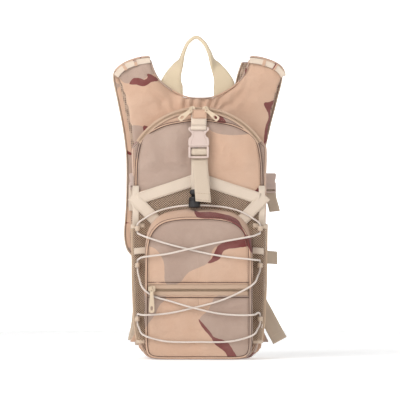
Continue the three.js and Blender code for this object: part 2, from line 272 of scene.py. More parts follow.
def camo_finish():
    """The printed cloth. Each piece keeps on its points how far inside the patches they are, and how much painted
    shade from the netting lies on it.
    """
    finish = Finish("camo_cloth", 0.86, sheen=0.12)
    wobble = (finish.cloud(160, 2) - 0.5) * 1.6
    taupe = (finish.held("taupe_edge") + wobble).step(-0.35, 0.35)
    maroon = (finish.held("maroon_edge") + wobble).step(-0.3, 0.3)
    printed = finish.mix(maroon, finish.mix(taupe, TAN, TAUPE), MAROON)
    # Painted shade: the cloth under the netting is pulled towards dark brown, standing in for the netting's shadow.
    printed = finish.mix(finish.held("painted_net_shade") * 0.8, printed, rgb(72, 42, 28))
    fade = finish.cloud(22, 4).step(0.3, 0.75)
    thread = plain_weave(finish)
    worn = finish.mix(fade * 0.10, printed, rgb(250, 232, 214))
    finish.colour(finish.mix((1 - thread) * 0.10, worn, rgb(110, 78, 62)))
    finish.rough(0.8 + finish.cloud(60, 2) * 0.14)
    wrinkle = finish.cloud(30, 4, 0.62) * 26 + finish.cloud(95, 3) * 4
    finish.relief(wrinkle + thread + finish.cloud(420, 2) * 0.6, 0.00024, 0.6)
    return finish.material


def webbing_finish(name, base, pitch=0.0019):
    """Woven webbing: ribs along its run, and a fine zigzag across them."""
    finish = Finish(name, 0.82, sheen=0.1)
    side, run = finish.held("side"), finish.held("run")
    rib = side.wave(pitch)
    slant = (run + (side.wave(pitch * 2) - 0.5) * 0.0012).wave(0.0011)
    thread = rib * 0.65 + slant * 0.35
    soiled = finish.cloud(35, 4).step(0.45, 0.85)
    tinted = finish.mix(soiled * 0.10, base, shade(base, 0.72))
    finish.colour(finish.mix((1 - thread) * 0.16, tinted, shade(base, 0.55)))
    finish.rough(0.72 + thread * 0.15)
    finish.relief(thread, 0.00035, 0.7)
    return finish.material


def thread_finish(name, base):
    """Sewing thread and braid: a fine twist along the piece."""
    finish = Finish(name, 0.75, sheen=0.1)
    x, y, z = finish.axes()
    twist = (x + z * 0.8 + y * 0.6).wave(0.0009)
    finish.colour(finish.mix(twist * 0.22, base, shade(base, 0.6)))
    finish.relief(twist, 0.0001, 0.5)
    return finish.material


def braid_finish(name, base):
    """A braided cord: two sets of diagonal strands round it."""
    finish = Finish(name, 0.6, sheen=0.08)
    side, run = finish.held("side"), finish.held("run")
    one = (side + run * 0.9).wave(0.0016)
    other = (side - run * 0.9).wave(0.0016)
    strand = one * other
    finish.colour(finish.mix(strand * 0.25, base, shade(base, 0.62)))
    finish.relief(one + other, 0.00018, 0.8)
    return finish.material


def netting_finish(name, base):
    finish = Finish(name, 0.8, sheen=0.1)
    x, y, z = finish.axes()
    fuzz = finish.cloud(900, 2)
    ply = (x * 0.7 + z + y * 0.5).wave(0.0007)
    finish.colour(finish.mix(fuzz * 0.3 + ply * 0.15, base, shade(base, 0.55)))
    finish.relief(ply + fuzz, 0.0001, 0.6)
    return finish.material


def spacer_finish(name, base):
    """Air mesh: rows of small open cells over foam."""
    finish = Finish(name, 0.92, sheen=0.15)
    values = {"Vector": finish.place(), "Scale": 330.0, "Randomness": 0.18}
    cell = finish.node("ShaderNodeTexVoronoi", {"feature": "F1"}, values)
    hole = cell.step(0.32, 0.5)
    finish.colour(finish.mix(1 - hole, base, shade(base, 0.45)))
    finish.relief(hole + finish.cloud(700, 2) * 0.3, 0.0006, 0.8)
    return finish.material


def moulded_finish(name, base, roughness=0.45, grain=0.35):
    """Moulded plastic: a fine spark texture, scuffed a little."""
    finish = Finish(name, roughness, Specular_IOR_Level=0.45)
    speck = finish.cloud(1500, 2)
    scuff = finish.cloud(90, 5, 0.7).step(0.55, 0.8)
    finish.colour(finish.mix(scuff * 0.12 + speck * 0.05, base, shade(base, 1.25)))
    finish.rough(roughness + speck * 0.12 + scuff * 0.12)
    finish.relief(speck, 0.00006, grain)
    return finish.material


def enamel_finish(name, base):
    """Painted zinc: glossy enamel with rubbed, paler patches."""
    finish = Finish(name, 0.32, Coat_Weight=0.3, Coat_Roughness=0.25)
    rub = finish.cloud(260, 5, 0.7).step(0.58, 0.72)
    finish.colour(finish.mix(rub * 0.35, base, rgb(244, 232, 208)))
    finish.rough(0.3 + rub * 0.25)
    finish.relief(finish.cloud(900, 3), 0.00003, 0.4)
    return finish.material


def film_finish(name, base):
    finish = Finish(name, 0.22, Coat_Weight=0.2)
    haze = finish.cloud(30, 4)
    finish.colour(finish.mix(haze * 0.3, base, shade(base, 1.2)))
    finish.rough(0.18 + haze * 0.2)
    finish.relief(finish.cloud(45, 4), 0.0006, 0.5)
    return finish.material


FINISHES = {}


def make_finishes():
    FINISHES["camo"] = camo_finish()
    FINISHES["webbing"] = webbing_finish("cream_webbing", CREAM)
    FINISHES["handle"] = webbing_finish("handle_webbing", HANDLE_CREAM)
    # A darker copy of the cream webbing, as painted shade, for the tails and tabs that hang in shadow.
    FINISHES["shaded_cream"] = webbing_finish("shaded_cream_webbing", rgb(222, 202, 180))
    FINISHES["binding"] = webbing_finish("binding_tape", rgb(232, 208, 184), 0.0014)
    FINISHES["lining"] = spacer_finish("air_mesh", rgb(204, 176, 154))
    FINISHES["netting"] = netting_finish("net_cord", rgb(244, 214, 184))
    FINISHES["bungee"] = braid_finish("bungee_braid", rgb(246, 231, 219))
    FINISHES["thread"] = thread_finish("sewing_thread", rgb(238, 214, 190))
    FINISHES["dark_thread"] = thread_finish("seam_thread", rgb(176, 138, 116))
    FINISHES["tape"] = webbing_finish("zip_tape", rgb(218, 186, 160), 0.0012)
    FINISHES["coil"] = moulded_finish("zip_coil", rgb(196, 166, 138), 0.4)
    FINISHES["enamel"] = enamel_finish("zip_enamel", BEIGE)
    FINISHES["buckle"] = moulded_finish("buckle_nylon", PINKISH)
    FINISHES["black"] = moulded_finish("black_nylon", rgb(34, 31, 32), 0.4)
    FINISHES["film"] = film_finish("bladder_film", rgb(160, 186, 200))
    # Dark brown for the thin rods that are painted shadow lines along the seams and the strap's top crease; the
    # handle's tack stitches, which are real dark thread, use it too.
    FINISHES["edge"] = thread_finish("seam_shadow_and_tack_thread", rgb(92, 62, 46))


# ---------------------------------------------------------------- mesh making


def reworked(mesh, work=None):
    """Does some work on a mesh, and turns its faces outward."""
    bm = bmesh.new()
    bm.from_mesh(mesh)
    if work:
        work(bm)
    bmesh.ops.recalc_face_normals(bm, faces=bm.faces)
    bm.to_mesh(mesh)
    bm.free()


def made(name, verts, faces, finish, body="pack", stands_for=(), slot=None, smooth=True, held=None):
    """A piece from points in millimetres, riding on a body. held gives numbers to keep on its points."""
    mesh = bpy.data.meshes.new(name)
    mesh.from_pydata((np.asarray(verts, float) * MM).tolist(), [], [tuple(map(int, f)) for f in faces])
    mesh.polygons.foreach_set("use_smooth", [smooth] * len(mesh.polygons))
    for key, numbers in (held or {}).items():
        mesh.attributes.new(key, "FLOAT", "POINT").data.foreach_set("value", np.asarray(numbers, np.float32))
    reworked(mesh)
    piece = bpy.data.objects.new(name, mesh)
    bpy.context.collection.objects.link(piece)
    mesh.materials.append(FINISHES[finish])
    if body:
        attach(piece, body)
    if stands_for:
        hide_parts(*stands_for)
    return piece


def modifier(piece, kind, **settings):
    added = piece.modifiers.new(kind.lower(), kind)
    for name, value in settings.items():
        setattr(added, name, value)
    return added


def bake(piece):
    """Makes a piece's mesh what its modifiers make of it."""
    depsgraph = bpy.context.evaluated_depsgraph_get()
    mesh = bpy.data.meshes.new_from_object(piece.evaluated_get(depsgraph))
    piece.modifiers.clear()
    piece.data = mesh


def bevelled(piece, width=0.6, segments=2):
    modifier(piece, "BEVEL", width=width * MM, segments=segments, limit_method="ANGLE", angle_limit=math.radians(38))
    modifier(piece, "WEIGHTED_NORMAL", keep_sharp=False)
    return piece


def curve_through(points, steps=8, closed=False):
    """A Catmull-Rom curve through points, with steps between each two."""
    points = np.asarray(points, float)
    count = len(points)
    spans = count if closed else count - 1
    result = []
    for i in range(spans):
        picks = [i - 1, i, i + 1, i + 2]
        picks = [p % count if closed else min(max(p, 0), count - 1) for p in picks]
        a, b, c, d = points[picks]
        for t in np.arange(steps) / steps:
            result.append(0.5 * (2 * b + (c - a) * t + (2 * a - 5 * b + 4 * c - d) * t**2
                                 + (3 * b - a - 3 * c + d) * t**3))
    if not closed:
        result.append(points[-1])
    return np.array(result)


def lengths(line):
    """The distance along a line to each of its points."""
    return np.concatenate([[0], np.cumsum(np.linalg.norm(np.diff(line, axis=0), axis=1))])


def spaced(line, count, closed=False):
    """The line again with count points, evenly spaced."""
    line = np.asarray(line, float)
    if closed:
        line = np.vstack([line, line[:1]])
    run = lengths(line)
    marks = np.linspace(0, run[-1], count + 1)[:-1] if closed else np.linspace(0, run[-1], count)
    return np.column_stack([np.interp(marks, run, line[:, i]) for i in range(line.shape[1])])


def quads(rows, columns, around=False, wrap_rows=False):
    """Faces over a grid of rows by columns."""
    faces = []
    for r in range(rows if wrap_rows else rows - 1):
        for c in range(columns if around else columns - 1):
            d, below = (c + 1) % columns, ((r + 1) % rows) * columns
            faces.append((r * columns + c, r * columns + d, below + d, below + c))
    return faces


def tube(rows, columns):
    """Faces over rings of points, with both ends closed."""
    ends = [tuple(range(columns))[::-1], tuple(range((rows - 1) * columns, rows * columns))]
    return quads(rows, columns, around=True) + ends


def unit(vectors):
    return vectors / np.maximum(np.linalg.norm(vectors, axis=-1, keepdims=True), 1e-9)


def strip(line, across, half_width, thickness):
    """A flat band along a line: points, faces and the numbers that its weave needs.
    across is the direction of its width at each point."""
    line = np.asarray(line, float)
    count = len(line)
    across = unit(np.broadcast_to(np.asarray(across, float), (count, 3)))
    half = np.broadcast_to(np.asarray(half_width, float), (count,))
    ahead = unit(np.gradient(line, axis=0))
    up = unit(np.cross(across, ahead))
    steps = (-0.96, -0.6, -0.2, 0.2, 0.6, 0.96)
    profile = [(-1, 0), *[(s, 1) for s in steps], (1, 0), *[(-s, -1) for s in steps]]
    verts, side = [], []
    for s, u in profile:
        verts.append(line + across * (half * s)[:, None] + up * (thickness * 0.5 * u))
        side.append(half * s)
    columns = len(profile)
    verts = np.stack(verts, 1).reshape(-1, 3)
    side = np.stack(side, 1).reshape(-1) * MM
    run = np.repeat(lengths(line) * MM, columns)
    return verts, tube(count, columns), {"side": side, "run": run}


def webbing(name, line, across, half_width, thickness=1.6, finish="webbing", slot="webbing", **rest):
    verts, faces, held = strip(line, across, half_width, thickness)
    return made(name, verts, faces, finish, slot=slot, held=held, **rest)


def rod(line, radius, sides=10, closed=False):
    """A round tube along a line, with frames that don't twist."""
    line = np.asarray(line, float)
    count = len(line)
    ahead = unit(np.roll(line, -1, 0) - np.roll(line, 1, 0)) if closed else unit(np.gradient(line, axis=0))
    start = np.array([0.0, 1.0, 0.0]) if abs(ahead[0][1]) < 0.9 else np.array([1.0, 0.0, 0.0])
    normal = unit(start - ahead[0] * (start @ ahead[0]))
    radius = np.broadcast_to(np.asarray(radius, float), (count,))
    verts, side = [], []
    for i in range(count):
        normal = unit(normal - ahead[i] * (normal @ ahead[i]))
        other = np.cross(ahead[i], normal)
        for a in np.arange(sides) * 2 * math.pi / sides:
            verts.append(line[i] + radius[i] * (math.cos(a) * normal + math.sin(a) * other))
            side.append(a * radius[i] * MM)
    faces = quads(count, sides, around=True, wrap_rows=True) if closed else tube(count, sides)
    run = np.repeat(lengths(line) * MM, sides)
    return np.array(verts), faces, {"side": np.array(side), "run": run}


def piping(name, line, radius, finish="dark_thread", slot="camo_fabric", closed=False, sides=8, **rest):
    verts, faces, held = rod(line, radius, sides, closed)
    return made(name, verts, faces, finish, slot=slot, held=held, **rest)


def hard(name, parts, bevel, finish="buckle", slot="buckle_plastic", **rest):
    """A moulded or cast piece with bevelled edges."""
    return bevelled(made(name, *parts, finish, smooth=False, slot=slot, **rest), *bevel)


def joined(parts):
    """Several (points, faces) as one."""
    verts, faces, base = [], [], 0
    for points, some in parts:
        verts.append(np.asarray(points, float))
        faces += [tuple(base + i for i in face) for face in some]
        base += len(points)
    return np.vstack(verts), faces


def stitches(name, lines, out, body="pack", finish="thread", slot="webbing", pitch=3.2, length=2.3, radius=0.28):
    """Rows of single stitches along lines. out is the way that the cloth faces."""
    out = unit(np.asarray(out, float))
    parts = []
    for line in lines:
        line = np.asarray(line, float)
        run = lengths(line)
        for mark in np.arange(pitch / 2, run[-1], pitch):
            ends = [np.array([np.interp(mark + d, run, line[:, i]) for i in range(3)]) for d in (-length / 2,
                                                                                                 length / 2)]
            ahead = unit(ends[1] - ends[0])
            other = unit(np.cross(out, ahead))
            rings = []
            for t, size in ((0, 0.35), (0.25, 1), (0.75, 1), (1, 0.35)):
                middle = ends[0] + (ends[1] - ends[0]) * t
                ring = [(other, 1), (out, 0.8), (other, -1), (out, -0.8)]
                rings += [middle + direction * amount * radius * size for direction, amount in ring]
            parts.append((rings, quads(4, 4, around=True) + [(3, 2, 1, 0), (12, 13, 14, 15)]))
    verts, faces = joined(parts)
    return made(name, verts, faces, finish, body=body, slot=slot)


def plate(outline, front, back):
    """A flat plate with an outline of x and z, between two depths."""
    outline = np.asarray(outline, float)
    count = len(outline)
    verts = [(x, y, z) for y in (front, back) for x, z in outline]
    faces = [tuple(range(count)), tuple(range(count, 2 * count))[::-1]]
    faces += [(i, (i + 1) % count, count + (i + 1) % count, count + i) for i in range(count)]
    return np.array(verts, float), faces


def plate_with_holes(outline, holes, front, back):
    """A plate with an outline of x and z, and round or shaped holes through it."""
    bm = bmesh.new()
    edges = []
    for loop in [outline, *holes]:
        verts = [bm.verts.new((x, front, z)) for x, z in loop]
        edges += [bm.edges.new((verts[i], verts[(i + 1) % len(verts)])) for i in range(len(verts))]
    bmesh.ops.triangle_fill(bm, use_beauty=True, edges=edges)
    bmesh.ops.dissolve_limit(bm, angle_limit=0.01, verts=bm.verts, edges=bm.edges)
    faces = list(bm.faces)
    grown = bmesh.ops.extrude_face_region(bm, geom=faces)
    moved = [v for v in grown["geom"] if isinstance(v, bmesh.types.BMVert)]
    bmesh.ops.translate(bm, verts=moved, vec=(0, back - front, 0))
    bm.verts.index_update()
    result = np.array([v.co[:] for v in bm.verts]), [tuple(v.index for v in f.verts) for f in bm.faces]
    bm.free()
    return result


def turned(points, centre, degrees):
    """Points turned in the front view about a centre, positive to the right at the top."""
    angle = math.radians(degrees)
    points = np.asarray(points, float) - centre
    turn = np.array([[math.cos(angle), 0, math.sin(angle)], [0, 1, 0], [-math.sin(angle), 0, math.cos(angle)]])
    return points @ turn.T + centre


def circle(x, z, radius, sides=16, stretch=1.0):
    angles = np.arange(sides) * 2 * math.pi / sides
    return [(x + radius * math.cos(a), z + radius * stretch * math.sin(a)) for a in angles]


def rounded_box(low, high, corner, steps=4):
    """The outline of a rectangle with round corners, as x and z."""
    (x0, z0), (x1, z1) = low, high
    points = []
    for cx, cz, start in ((x1 - corner, z1 - corner, 0), (x0 + corner, z1 - corner, 90),
                          (x0 + corner, z0 + corner, 180), (x1 - corner, z0 + corner, 270)):
        for a in np.radians(np.linspace(start, start + 90, steps + 1)):
            points.append((cx + corner * math.cos(a), cz + corner * math.sin(a)))
    return points


def mirror(points, side):
    return [(x * side, *rest) for x, *rest in points]


def ripple(points, size, amount, seed=0.0, stretch=(1, 1, 1)):
    """Soft uneven folds: how far each point moves, from smooth noise."""
    scale = np.array(stretch, float) / size
    return np.array([noise.noise(Vector(p * scale) + Vector((seed, seed * 0.7, 3.1))) for p in points]) * amount


# ---------------------------------------------------------------- camouflage print

# The print of each front piece, as patches seen from the front
# (x and z, in millimetres): taupe, then maroon.
PRINTS = {
    "yoke": (
        [[(-150, 480), (-112, 492), (-75, 492), (-72, 462), (-84, 455), (-92, 449), (-108, 449), (-116, 443),
          (-128, 449)],
         [(-112, 374), (-94, 374), (-86, 366), (-84, 356), (-90, 340), (-102, 322), (-116, 322), (-116, 359)]],
        [[(-114, 442), (-108, 451), (-98, 452), (-90, 449), (-84, 453), (-87, 459), (-78, 457), (-67, 448),
          (-79, 445), (-84, 441), (-92, 438), (-103, 441)],
         [(-92, 374), (-83, 372), (-82, 360), (-88, 357)],
         [(103, 410), (112, 413), (122, 416), (119, 406), (114, 399), (117, 385), (115, 374), (110, 366), (110, 346),
          (112, 321), (104, 342), (105, 370), (111, 390)]],
    ),
    "gusset": (
        [[(37, 404), (58, 402), (80, 386), (104, 352), (116, 300), (118, 262), (101, 276), (98, 330), (86, 359),
          (60, 375), (38, 381)], [(-104, 340), (-96, 352), (-88, 356), (-92, 340), (-102, 318)]],
        [[(26, 394), (37, 397), (39, 388), (44, 379), (34, 379), (26, 384)]],
    ),
    "panel": (
        [[(-7.5, 391), (-60, 388), (-112, 366), (-116, 280), (-116, 268), (-60, 276), (-7.5, 290)],
         [(-7, 390), (88, 380), (92, 369), (78, 361), (54, 359), (34, 361), (20, 366), (12, 375)],
         [(-80, 266), (-43, 268), (-43, 238), (-60, 230), (-80, 236)],
         [(-35, 276), (-10, 276), (-10, 236), (-35, 236)],
         [(26, 276), (81, 270), (81, 245), (52, 240), (26, 250)],
         [(90, 200), (110, 212), (110, 170), (106, 120), (92, 128), (88, 160)],
         [(-90, 120), (-106, 132), (-110, 90), (-104, 60), (-92, 70)]],
        [[(85, 264), (92, 272), (97, 279), (97, 271), (99, 262)],
         [(6, 256), (22, 258), (32, 246), (40, 236), (6, 236)],
         [(52, 236), (54, 245), (65, 244), (66, 235)]],
    ),
    "pocket_side": (
        [[(-96, 101), (-82, 99), (-80, 60), (-96, 44)], [(78, 103), (96, 103), (96, -4), (78, -4)]],
        [[(-7.5, 239), (2, 236), (22, 236), (39, 233), (54, 229), (66, 220), (77, 199), (90, 196), (86, 170),
          (73, 197),
          (63, 213), (50, 221), (34, 225), (6, 226), (-3, 229)]],
    ),
    "pocket": (
        [[(-82, 183), (-80, 198), (-76, 212), (-60, 222), (-27, 227), (22, 228), (57, 224), (69, 211), (73, 198),
          (32, 183), (22, 173), (16, 155), (-15, 140), (-31, 122), (-52, 122), (-55, 156), (-68, 177)],
         [(-96, 101), (-51, 101), (-62, 87), (-70, 71), (-82, 56), (-96, 44)],
         [(34, 103), (92, 103), (92, -4), (63, -4), (55, 17), (44, 30), (26, 36), (2, 62), (16, 79), (20, 87)]],
        [[(72, 196), (78, 204), (84, 184), (63, 179), (48, 177), (40, 173), (34, 161), (22, 155), (15, 155),
          (22, 163),
          (28, 176), (34, 184), (47, 189), (63, 193)],
         [(1, 65), (18, 46), (26, 36), (44, 30), (55, 17), (64, -3), (50, -3), (44, 11), (28, 24), (20, 36),
          (5, 54)]],
    ),
}


def inside_by(points, patch):
    """How far inside a closed outline each point is, and below 0 outside it."""
    loop = curve_through(patch, 5, closed=True)
    after = np.roll(loop, -1, 0)
    run = after - loop
    gap = points[:, None, :] - loop[None]
    along = np.clip((gap * run).sum(-1) / np.maximum((run * run).sum(-1), 1e-9), 0, 1)
    distance = np.linalg.norm(gap - along[..., None] * run, axis=-1).min(1)
    x, z = points[:, 0][:, None], points[:, 1][:, None]
    crossed = (loop[:, 1] > z) != (after[:, 1] > z)
    rise = np.where(np.abs(run[:, 1]) < 1e-9, 1e-9, run[:, 1])
    left = x < loop[:, 0] + (z - loop[:, 1]) * run[:, 0] / rise
    return np.where((crossed & left).sum(1) % 2 == 1, distance, -distance)


def deepest(points, patches):
    return np.max([inside_by(points, patch) for patch in patches], axis=0)


def painted_net_shade_share(points):
    """How much painted shade from the netting darkens each point: 1 under the upper netting and the side pockets."""
    x, y, z = np.abs(points[:, 0]), points[:, 1], points[:, 2]
    top = np.interp(x, [0, 97, 110], [282, 252, 216])
    floor = np.where(y > -21, 30, np.interp(x, [0, 28, 55, 73, 84, 85, 110], [241, 240, 234, 221, 204, 30, 30]))
    top = np.where(y > -21, 214, top)
    inner = np.where(y > -21, x > 80, True)
    return np.clip((top - z) / 3, 0, 1) * np.clip((z - floor) / 3, 0, 1) * inner


def print_camo(piece, group=None, seed=0.0, painted_net_shade=False):
    """Keeps on each point how far it is inside the taupe and the maroon of the print, and how much painted netting
    shade darkens it. A group has its own patches.
    """
    points = np.array([v.co for v in piece.data.vertices]) / MM
    taupe = ripple(points, 52, 62, seed) + ripple(points, 19, 9, seed + 5) - 4
    maroon = 2.6 - np.abs(ripple(points, 62, 60, seed + 9, (1, 1, 1.4))) + ripple(points, 26, 7, seed + 2) - 1.2
    if group:
        facing, flat = points[:, 1] < 44, points[:, [0, 2]]
        taupe = np.where(facing, deepest(flat, PRINTS[group][0]), taupe)
        maroon = np.where(facing, deepest(flat, PRINTS[group][1]), maroon)
    for name, numbers in (("taupe_edge", taupe), ("maroon_edge", maroon), ("painted_net_shade", painted_net_shade_share(points) * painted_net_shade)):
        held = piece.data.attributes.new(name, "FLOAT", "POINT")
        held.data.foreach_set("value", np.asarray(numbers, np.float32))
    return piece


def cloth(name, verts, faces, group=None, seed=0.0, painted_net_shade=False, **rest):
    return print_camo(made(name, verts, faces, "camo", slot="camo_fabric", **rest), group, seed, painted_net_shade)


# ---------------------------------------------------------------- outlines and shells


def full_ring(right, count):
    """A closed outline from its right half, given from the bottom middle to the top middle."""
    half = spaced(curve_through(right, 8), count // 2 + 1)
    return np.vstack([half, (half * (-1, 1))[-2:0:-1]])


def grown(ring, distance):
    """A closed outline moved outward."""
    ahead = unit(np.roll(ring, -1, 0) - np.roll(ring, 1, 0))
    return ring + np.column_stack([ahead[:, 1], -ahead[:, 0]]) * np.broadcast_to(distance, (len(ring),))[:, None]


def lifted(ring, y):
    """An outline of x and z at a depth."""
    depth = np.broadcast_to(y, (len(ring),))
    return np.column_stack([ring[:, 0], depth, ring[:, 1]])


def welded(piece):
    """Joins the points of a piece that fall together."""
    reworked(piece.data, lambda bm: bmesh.ops.remove_doubles(bm, verts=bm.verts, dist=0.05 * MM))
    return piece


def loft(rings, inner):
    """A closed skin over outer rings and back under inner ones."""
    rows = [*rings, *inner[::-1]]
    return np.vstack(rows), quads(len(rows), len(rows[0]), around=True, wrap_rows=True)


def arch_points(radius, start, end, count):
    """Points on the zip's arch, from one angle to another, measured from the top."""
    return [(radius * math.sin(a), ARCH_Z + radius * math.cos(a)) for a in np.radians(np.linspace(start, end, count))]


AROUND = 300
BODY_RIGHT = [(0, 0.6), (40, 0.6), (70, 0.8), (84, 4), (92, 16), (97, 34), (101, 60), (103, 90), (105, 150),
              (106, 230),
              (106.6, 284), *arch_points(ARCH_RADIUS, 64, 0, 14)]
SEAM_RIGHT = [(0, 6), (40, 6), (66, 6.4), (79, 10), (87, 20), (92, 37), (96, 60), (98, 90), (100, 150), (100.8, 230),
              (101, 284), (99.6, 319), (94.5, 345), (84, 360), (58, 374), (30, 380.4), (11, 382.6), (0, 382.8)]
POCKET_RIGHT = [(0, 0.6), (40, 0.6), (66, 0.8), (79, 4), (84.5, 14), (85, 40), (85, 120), (84.6, 170), (82, 200),
                (73, 221), (55, 234), (28, 240), (0, 241)]
FACE_RIGHT = [(0, 3), (40, 3), (62, 3.4), (75, 6), (81.5, 15), (83, 40), (83, 120), (82.6, 165), (79.5, 190),
              (71, 208), (55, 220), (28, 225.4), (0, 226)]


def disc_rows(ring, low, high, count):
    """Rings from an outline in to the line up its middle, each with how far in it is."""
    centre = np.column_stack([np.zeros(len(ring)), np.clip(ring[:, 1], low, high)])
    shares = 1 - (1 - np.linspace(0, 1, count)) ** 1.15
    return [(t, ring * (1 - t) + centre * t) for t in shares]


def make_bag():
    body, seam = full_ring(BODY_RIGHT, AROUND), full_ring(SEAM_RIGHT, AROUND)
    depths = [(33.8, -3.4), (32.5, -1.6), (29, -0.2), (20, 0.5), (8, 0.9), (-4, 0.5), (-11, -0.6), (-15, -2.2),
              (-17.4, -4.4)]
    curve = curve_through(depths, 4)
    sag = ripple(lifted(body, 0), 40, 0.8, 4)
    outer = [lifted(grown(body, out + sag * math.sin(i / len(curve) * math.pi)), y) for i,
             (y, out) in enumerate(curve)]
    outer = [np.maximum(row, (-200, -200, 0)) for row in outer]
    inner = [lifted(grown(body, out - 1.6), y) for y, out in curve]
    cloth("bag_sides", *loft(outer, inner), seed=11.0, painted_net_shade=True, stands_for=["main_shell"])
    corner = grown(body, -4.4)
    steps = np.linspace(0, 1, 9)
    band = [lifted(corner * (1 - t) + seam * t, -17.4 - 3.4 * math.sin(t * math.pi / 2)) for t in steps]
    under = [row + (0, 1.5, 0) for row in band]
    cloth("zip_band", *loft(band, under), "gusset", painted_net_shade=True, stands_for=["main_zip_gusset"])
    front = []
    for t, ring in disc_rows(seam, 90, 300, 34):
        rows = lifted(ring, 0)
        open_part = np.clip((ring[:, 1] - 300) / 16, 0, 1) * np.clip((378 - ring[:, 1]) / 16, 0, 1)
        open_part = open_part * np.clip((np.abs(ring[:, 0]) - 20) / 16, 0, 1)
        puff = (3.0 + 3.6 * open_part) * math.sin(min(t * 3.4, 1) * math.pi / 2)
        folds = (ripple(rows, 30, 3.0, 7, (1.3, 1, 0.6)) + ripple(rows, 11, 0.8, 9)) * open_part
        rows[:, 1] = -20.5 - puff + folds
        front.append(rows)
    back = [row + (0, 1.5, 0) for row in front]
    panel = cloth("main_panel", *loft(front, back), "panel", painted_net_shade=True, stands_for=["main_front_panel"])
    welded(panel)
    for name, ring, depth, radius in (("corner_piping", corner, -17.6, 1.5), ("panel_piping", seam, -20.6, 1.2)):
        cloth(name, *rod(lifted(ring, depth), radius, 8, closed=True)[:2], "gusset", painted_net_shade=True)
    # Thin dark-brown rods beside the piping: painted shadow lines along the seams.
    for name, ring, depth in (("corner_seam_shadow", grown(corner, 1.7), -16.6),
                              ("panel_seam_shadow_outer", grown(seam, 1.6), -21.0),
                              ("panel_seam_shadow_inner", grown(seam, -1.6), -21.4)):
        piping(name, lifted(ring, depth), 0.55, "edge", closed=True, sides=6)
    stitches("panel_stitches", [lifted(grown(seam, 3.6), -20.6)[55:246]], FRONT, finish="dark_thread",
             slot="camo_fabric")
    stitches("panel_topstitch", [lifted(grown(seam, -4.0), -22.2)[60:241]], FRONT, finish="dark_thread",
             slot="camo_fabric")


def trimmed(piece, height, way):
    """Cuts away what is above a height, or below it where way is -1, and closes the cut."""

    def trim(bm):
        geom = [*bm.verts, *bm.edges, *bm.faces]
        cut = bmesh.ops.bisect_plane(bm, geom=geom, plane_co=(0, 0, height * MM), plane_no=(0, 0, way),
                                     clear_outer=True)
        edges = [e for e in cut["geom_cut"] if isinstance(e, bmesh.types.BMEdge)]
        bmesh.ops.holes_fill(bm, edges=edges, sides=0)

    reworked(piece.data, trim)
    return piece


def make_pocket():
    rear, face = full_ring(POCKET_RIGHT, AROUND), full_ring(FACE_RIGHT, AROUND)
    steps = np.linspace(0, 1, 15)
    outer, inner = [], []
    for t in steps:
        ring = rear * (1 - t) + face * t
        y = -25.4 - 34.2 * t
        slack = ripple(lifted(ring, y), 26, 1.6, 2, (1, 0.7, 1)) * math.sin(t * math.pi)
        swell = 2.4 * math.sin(t * math.pi) * np.clip(ring[:, 1] / 30, 0, 1)
        outer.append(lifted(grown(ring, swell + slack * np.clip(ring[:, 1] / 30, 0, 1)), y))
        inner.append(lifted(grown(ring, -1.6), y))
    cloth("pocket_sides", *loft(outer, inner), "pocket_side", stands_for=["pocket_gusset"])
    front = []
    for t, ring in disc_rows(face, 70, 170, 40):
        rows = lifted(ring, 0)
        near_zip = np.exp(-(((ring[:, 1] - 111) / 16) ** 2))
        rows[:, 1] = -59.8 - 0.8 * math.sin(min(t * 4, 1) * math.pi / 2) + 0.5 * near_zip
        rows[:, 1] += (ripple(rows, 34, 1.7, 3, (1, 1, 0.7)) + ripple(rows, 12, 0.7, 8)) * min(t * 5, 1)
        front.append(rows)
    back = [row + (0, 1.5, 0) for row in front]
    verts, faces = loft(front, back)
    for name, node, height, way in (("pocket_upper", "pocket_panel_upper", 121.8, -1),
                                    ("pocket_lower", "pocket_panel_lower", 101.2, 1)):
        piece = welded(made(name, verts, faces, "camo", slot="camo_fabric", stands_for=[node]))
        print_camo(trimmed(piece, height, way), "pocket")
    for name, height in (("zip_hem_upper", 121.6), ("zip_hem_lower", 101.4)):
        line = [(x, -59.9 - 0.5 * (1 - (x / 84) ** 2), height) for x in np.linspace(-81.4, 81.4, 60)]
        cloth(name, *rod(line, 1.15, 8)[:2], "pocket")
        # A thin dark-brown rod beside each hem: a painted shadow line along the seam.
        piping(f"{name}_seam", [(x, y - 0.7, z + (1.7 if height > 110 else -1.7)) for x, y, z in line], 0.45, "edge")
    for name, ring, depth, radius in (("pocket_piping", face, -60.0, 1.6),
                                      ("pocket_base_piping", grown(rear, -1.0), -26.0, 1.3)):
        cloth(name, *rod(lifted(ring, depth), radius, 8, closed=True)[:2], "pocket_side")
    # Thin dark-brown rods beside the pocket's piping: painted shadow lines along the seams.
    for name, ring, depth in (("pocket_seam_shadow_outer", grown(face, 1.8), -59.4),
                              ("pocket_seam_shadow_inner", grown(face, -1.8), -60.6),
                              ("pocket_base_seam_shadow", grown(rear, -0.2), -25.0)):
        piping(name, lifted(ring, depth), 0.55, "edge", closed=True, sides=6)
    upper = grown(face, -4.2)
    stitches("pocket_stitches", [lifted(upper, -61.0)[40:261]], FRONT, finish="dark_thread", slot="camo_fabric")
    rows = [[(x, -61.2, z) for x in np.linspace(-79, 79, 60)] for z in (124.6, 98.6)]
    stitches("zip_stitches", rows, FRONT, finish="dark_thread", slot="camo_fabric")


# ---------------------------------------------------------------- zips


